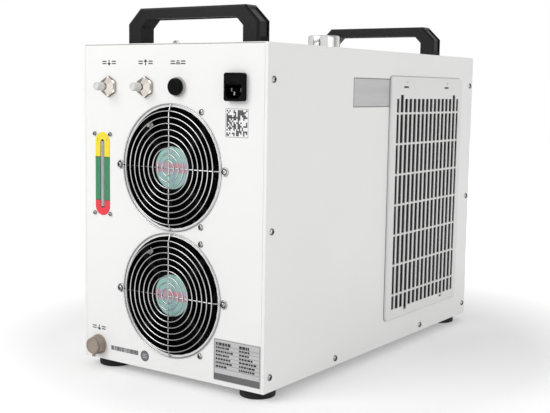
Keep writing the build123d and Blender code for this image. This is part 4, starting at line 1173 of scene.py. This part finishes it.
def makeFins(side, body):
    c = condenser
    low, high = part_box(f"condenser_{body}")
    face = high.x if side > 0 else -low.x
    x0, x1 = sorted((side * (face + c["proud"]), side * (face - c["finDepth"])))
    base = underFace + c["low"] + c["margin"]
    half = c["finThick"] / 2
    fins = []
    for i in range(int((high.y - low.y - 2 * c["margin"]) / c["finPitch"]) + 1):
        y = low.y + c["margin"] + i * c["finPitch"]
        fins.append(brick(x0, x1, y - half, y + half, base, high.z - c["margin"], 0.00005))
    newPiece(f"condenserFins_{body}", *joined(fins), "finAluminium")
    tubes = []
    first, last = base + c["firstTube"], high.z - c["lastTube"]
    for row in range(c["rows"]):
        z = first + (last - first) * row / (c["rows"] - 1)
        ends = [((x0 + x1) / 2, y, z) for y in (low.y + c["tubeMargin"], high.y - c["tubeMargin"])]
        tubes.append(wire(ends, c["tube"], sides=20))
    newPiece(f"condenserTubes_{body}", *joined(tubes), "copperTube")


makeFins(1, "left")
makeFins(-1, "right")
print("condenser fins made")


# Front: the display's digits and the key signs

display = {"pitch": 0.0105, "side": 0.0030, "rise": 0.0058, "line": 0.0011, "wide": 0.0048, "tall": 0.0047}
keySign = {"long": 0.0030, "line": 0.0007, "scale": 0.8, "depth": 0.0001}


def digitBars(x, letters):
    # The lit bars of one seven-part digit, lettered a to g as is usual.
    side, rise, line, wide, tall = (display[k] for k in ("side", "rise", "line", "wide", "tall"))
    bars = {"a": (x, rise, wide, line), "g": (x, 0, wide, line), "d": (x, -rise, wide, line)}
    for letter, across, up in (("b", 1, 1), ("c", 1, -1), ("e", -1, -1), ("f", -1, 1)):
        bars[letter] = (x + across * side, up * rise / 2, line, tall)
    return [bars[letter] for letter in letters]


def makeFrontDetail():
    spot, face = middleOf("display_window"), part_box("display_window")[0].y
    segments = []
    for k, letters in enumerate(("abged", "abcdef", "abcdef")):
        segments += digitBars((k - 1) * display["pitch"], letters)
    segments.append((0.0052, -display["rise"], display["line"], display["line"]))
    makeInk("displayDigits", "front", (spot.x, face + sticker["thick"], spot.z), segments, "litSegment")
    across = (0, 0, keySign["long"], keySign["line"])
    upward = (0, 0, keySign["line"], keySign["long"])
    low, high = sticker["thick"] - keySign["depth"], sticker["thick"]
    for i, boxes in enumerate((arrow(1), arrow(-1), [across], [upward, across])):
        spot, face = middleOf(f"button_{i + 1}"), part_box(f"button_{i + 1}")[0].y
        at = (spot.x, face + sticker["thick"], spot.z)
        parts = []
        for box in boxes:
            x, y, w, h = (v * keySign["scale"] for v in box)
            parts.append(flatPiece("front", at, w, h, min(w, h) * 0.1, low, high, (x, y)))
        newPiece(f"keySign_{i + 1}", *joined(parts), "labelPaper", f"key_{i + 1}")


makeFrontDetail()
print("front detail made")


# Floor, backdrop and light

stage = {
    "floor": (0.8, 0.8, 0.8), "floorSize": 6, "floorGlow": (0.22, 1.0), "glowFrom": (0.35, 0.9),
    "key": 34.0, "fill": 16.0, "aim": (0, 0, 0.22), "world": 0.55,
}


def seenRay(tree):
    # One for a ray from the camera, or by way of a mirroring or a clear piece, else zero.
    rays = tree.nodes.new("ShaderNodeLightPath")
    either = mathNode(tree, "MAXIMUM", rays.outputs["Is Camera Ray"], rays.outputs["Is Transmission Ray"])
    return mathNode(tree, "MAXIMUM", either, rays.outputs["Is Glossy Ray"])


def makeStage():
    # White paper that glows for the camera more the further out it lies, so that only near shadows show.
    floor = bpy.data.meshes.new("floor")
    size = stage["floorSize"]
    outline = [(-size, -size, 0), (size, -size, 0), (size, size, 0), (-size, size, 0)]
    floor.from_pydata(outline, [], [(0, 1, 2, 3)])
    ground = bpy.data.objects.new("floor", floor)
    bpy.context.scene.collection.objects.link(ground)
    material, tree, shader = newLook("floorPaper")
    shader.inputs["Base Color"].default_value = (*stage["floor"], 1)
    shader.inputs["Roughness"].default_value = 0.9
    shader.inputs["Specular IOR Level"].default_value = 0
    away = tree.nodes.new("ShaderNodeVectorMath")
    away.operation = "LENGTH"
    tree.links.new(objectPlace(tree), away.inputs[0])
    reach = spanNode(tree, away.outputs["Value"], *stage["glowFrom"])
    reach.inputs["To Min"].default_value, reach.inputs["To Max"].default_value = stage["floorGlow"]
    glow = mathNode(tree, "MULTIPLY", seenRay(tree), reach.outputs["Result"])
    tint = tree.nodes.new("ShaderNodeCombineColor")
    for channel in ("Red", "Green", "Blue"):
        tree.links.new(glow, tint.inputs[channel])
    tree.links.new(tint.outputs["Color"], shader.inputs["Emission Color"])
    shader.inputs["Emission Strength"].default_value = 1.0
    floor.materials.append(material)


def makeWorld():
    # The camera and mirroring pieces see plain white. All else is lit by a dimmer white.
    world = bpy.data.worlds.new("studio")
    world.use_nodes = True
    tree = world.node_tree
    light = tree.nodes["Background"]
    light.inputs["Color"].default_value = (1, 1, 1, 1)
    light.inputs["Strength"].default_value = stage["world"]
    white = tree.nodes.new("ShaderNodeBackground")
    white.inputs["Color"].default_value = (1, 1, 1, 1)
    white.inputs["Strength"].default_value = 1.0
    mix = tree.nodes.new("ShaderNodeMixShader")
    tree.links.new(seenRay(tree), mix.inputs[0])
    tree.links.new(light.outputs[0], mix.inputs[1])
    tree.links.new(white.outputs[0], mix.inputs[2])
    tree.links.new(mix.outputs[0], tree.nodes["World Output"].inputs["Surface"])
    bpy.context.scene.world = world


def areaLight(name, place, aim, size, power):
    data = bpy.data.lights.new(name, "AREA")
    data.shape = "RECTANGLE"
    data.size, data.size_y = size
    data.energy = power
    lamp = bpy.data.objects.new(name, data)
    lamp.location = place
    lamp.rotation_euler = (Vector(aim) - Vector(place)).to_track_quat("-Z", "Y").to_euler()
    bpy.context.scene.collection.objects.link(lamp)


makeStage()
makeWorld()
areaLight("key", (0.9, 2.2, 1.5), stage["aim"], (1.6, 1.6), stage["key"])
areaLight("fill", (-2.4, 0.2, 1.1), stage["aim"], (1.8, 1.8), stage["fill"])
bpy.context.scene.view_settings.view_transform = "Standard"
print("stage lit")


def corners(box):
    return [[float(v) for v in corner] for corner in box]
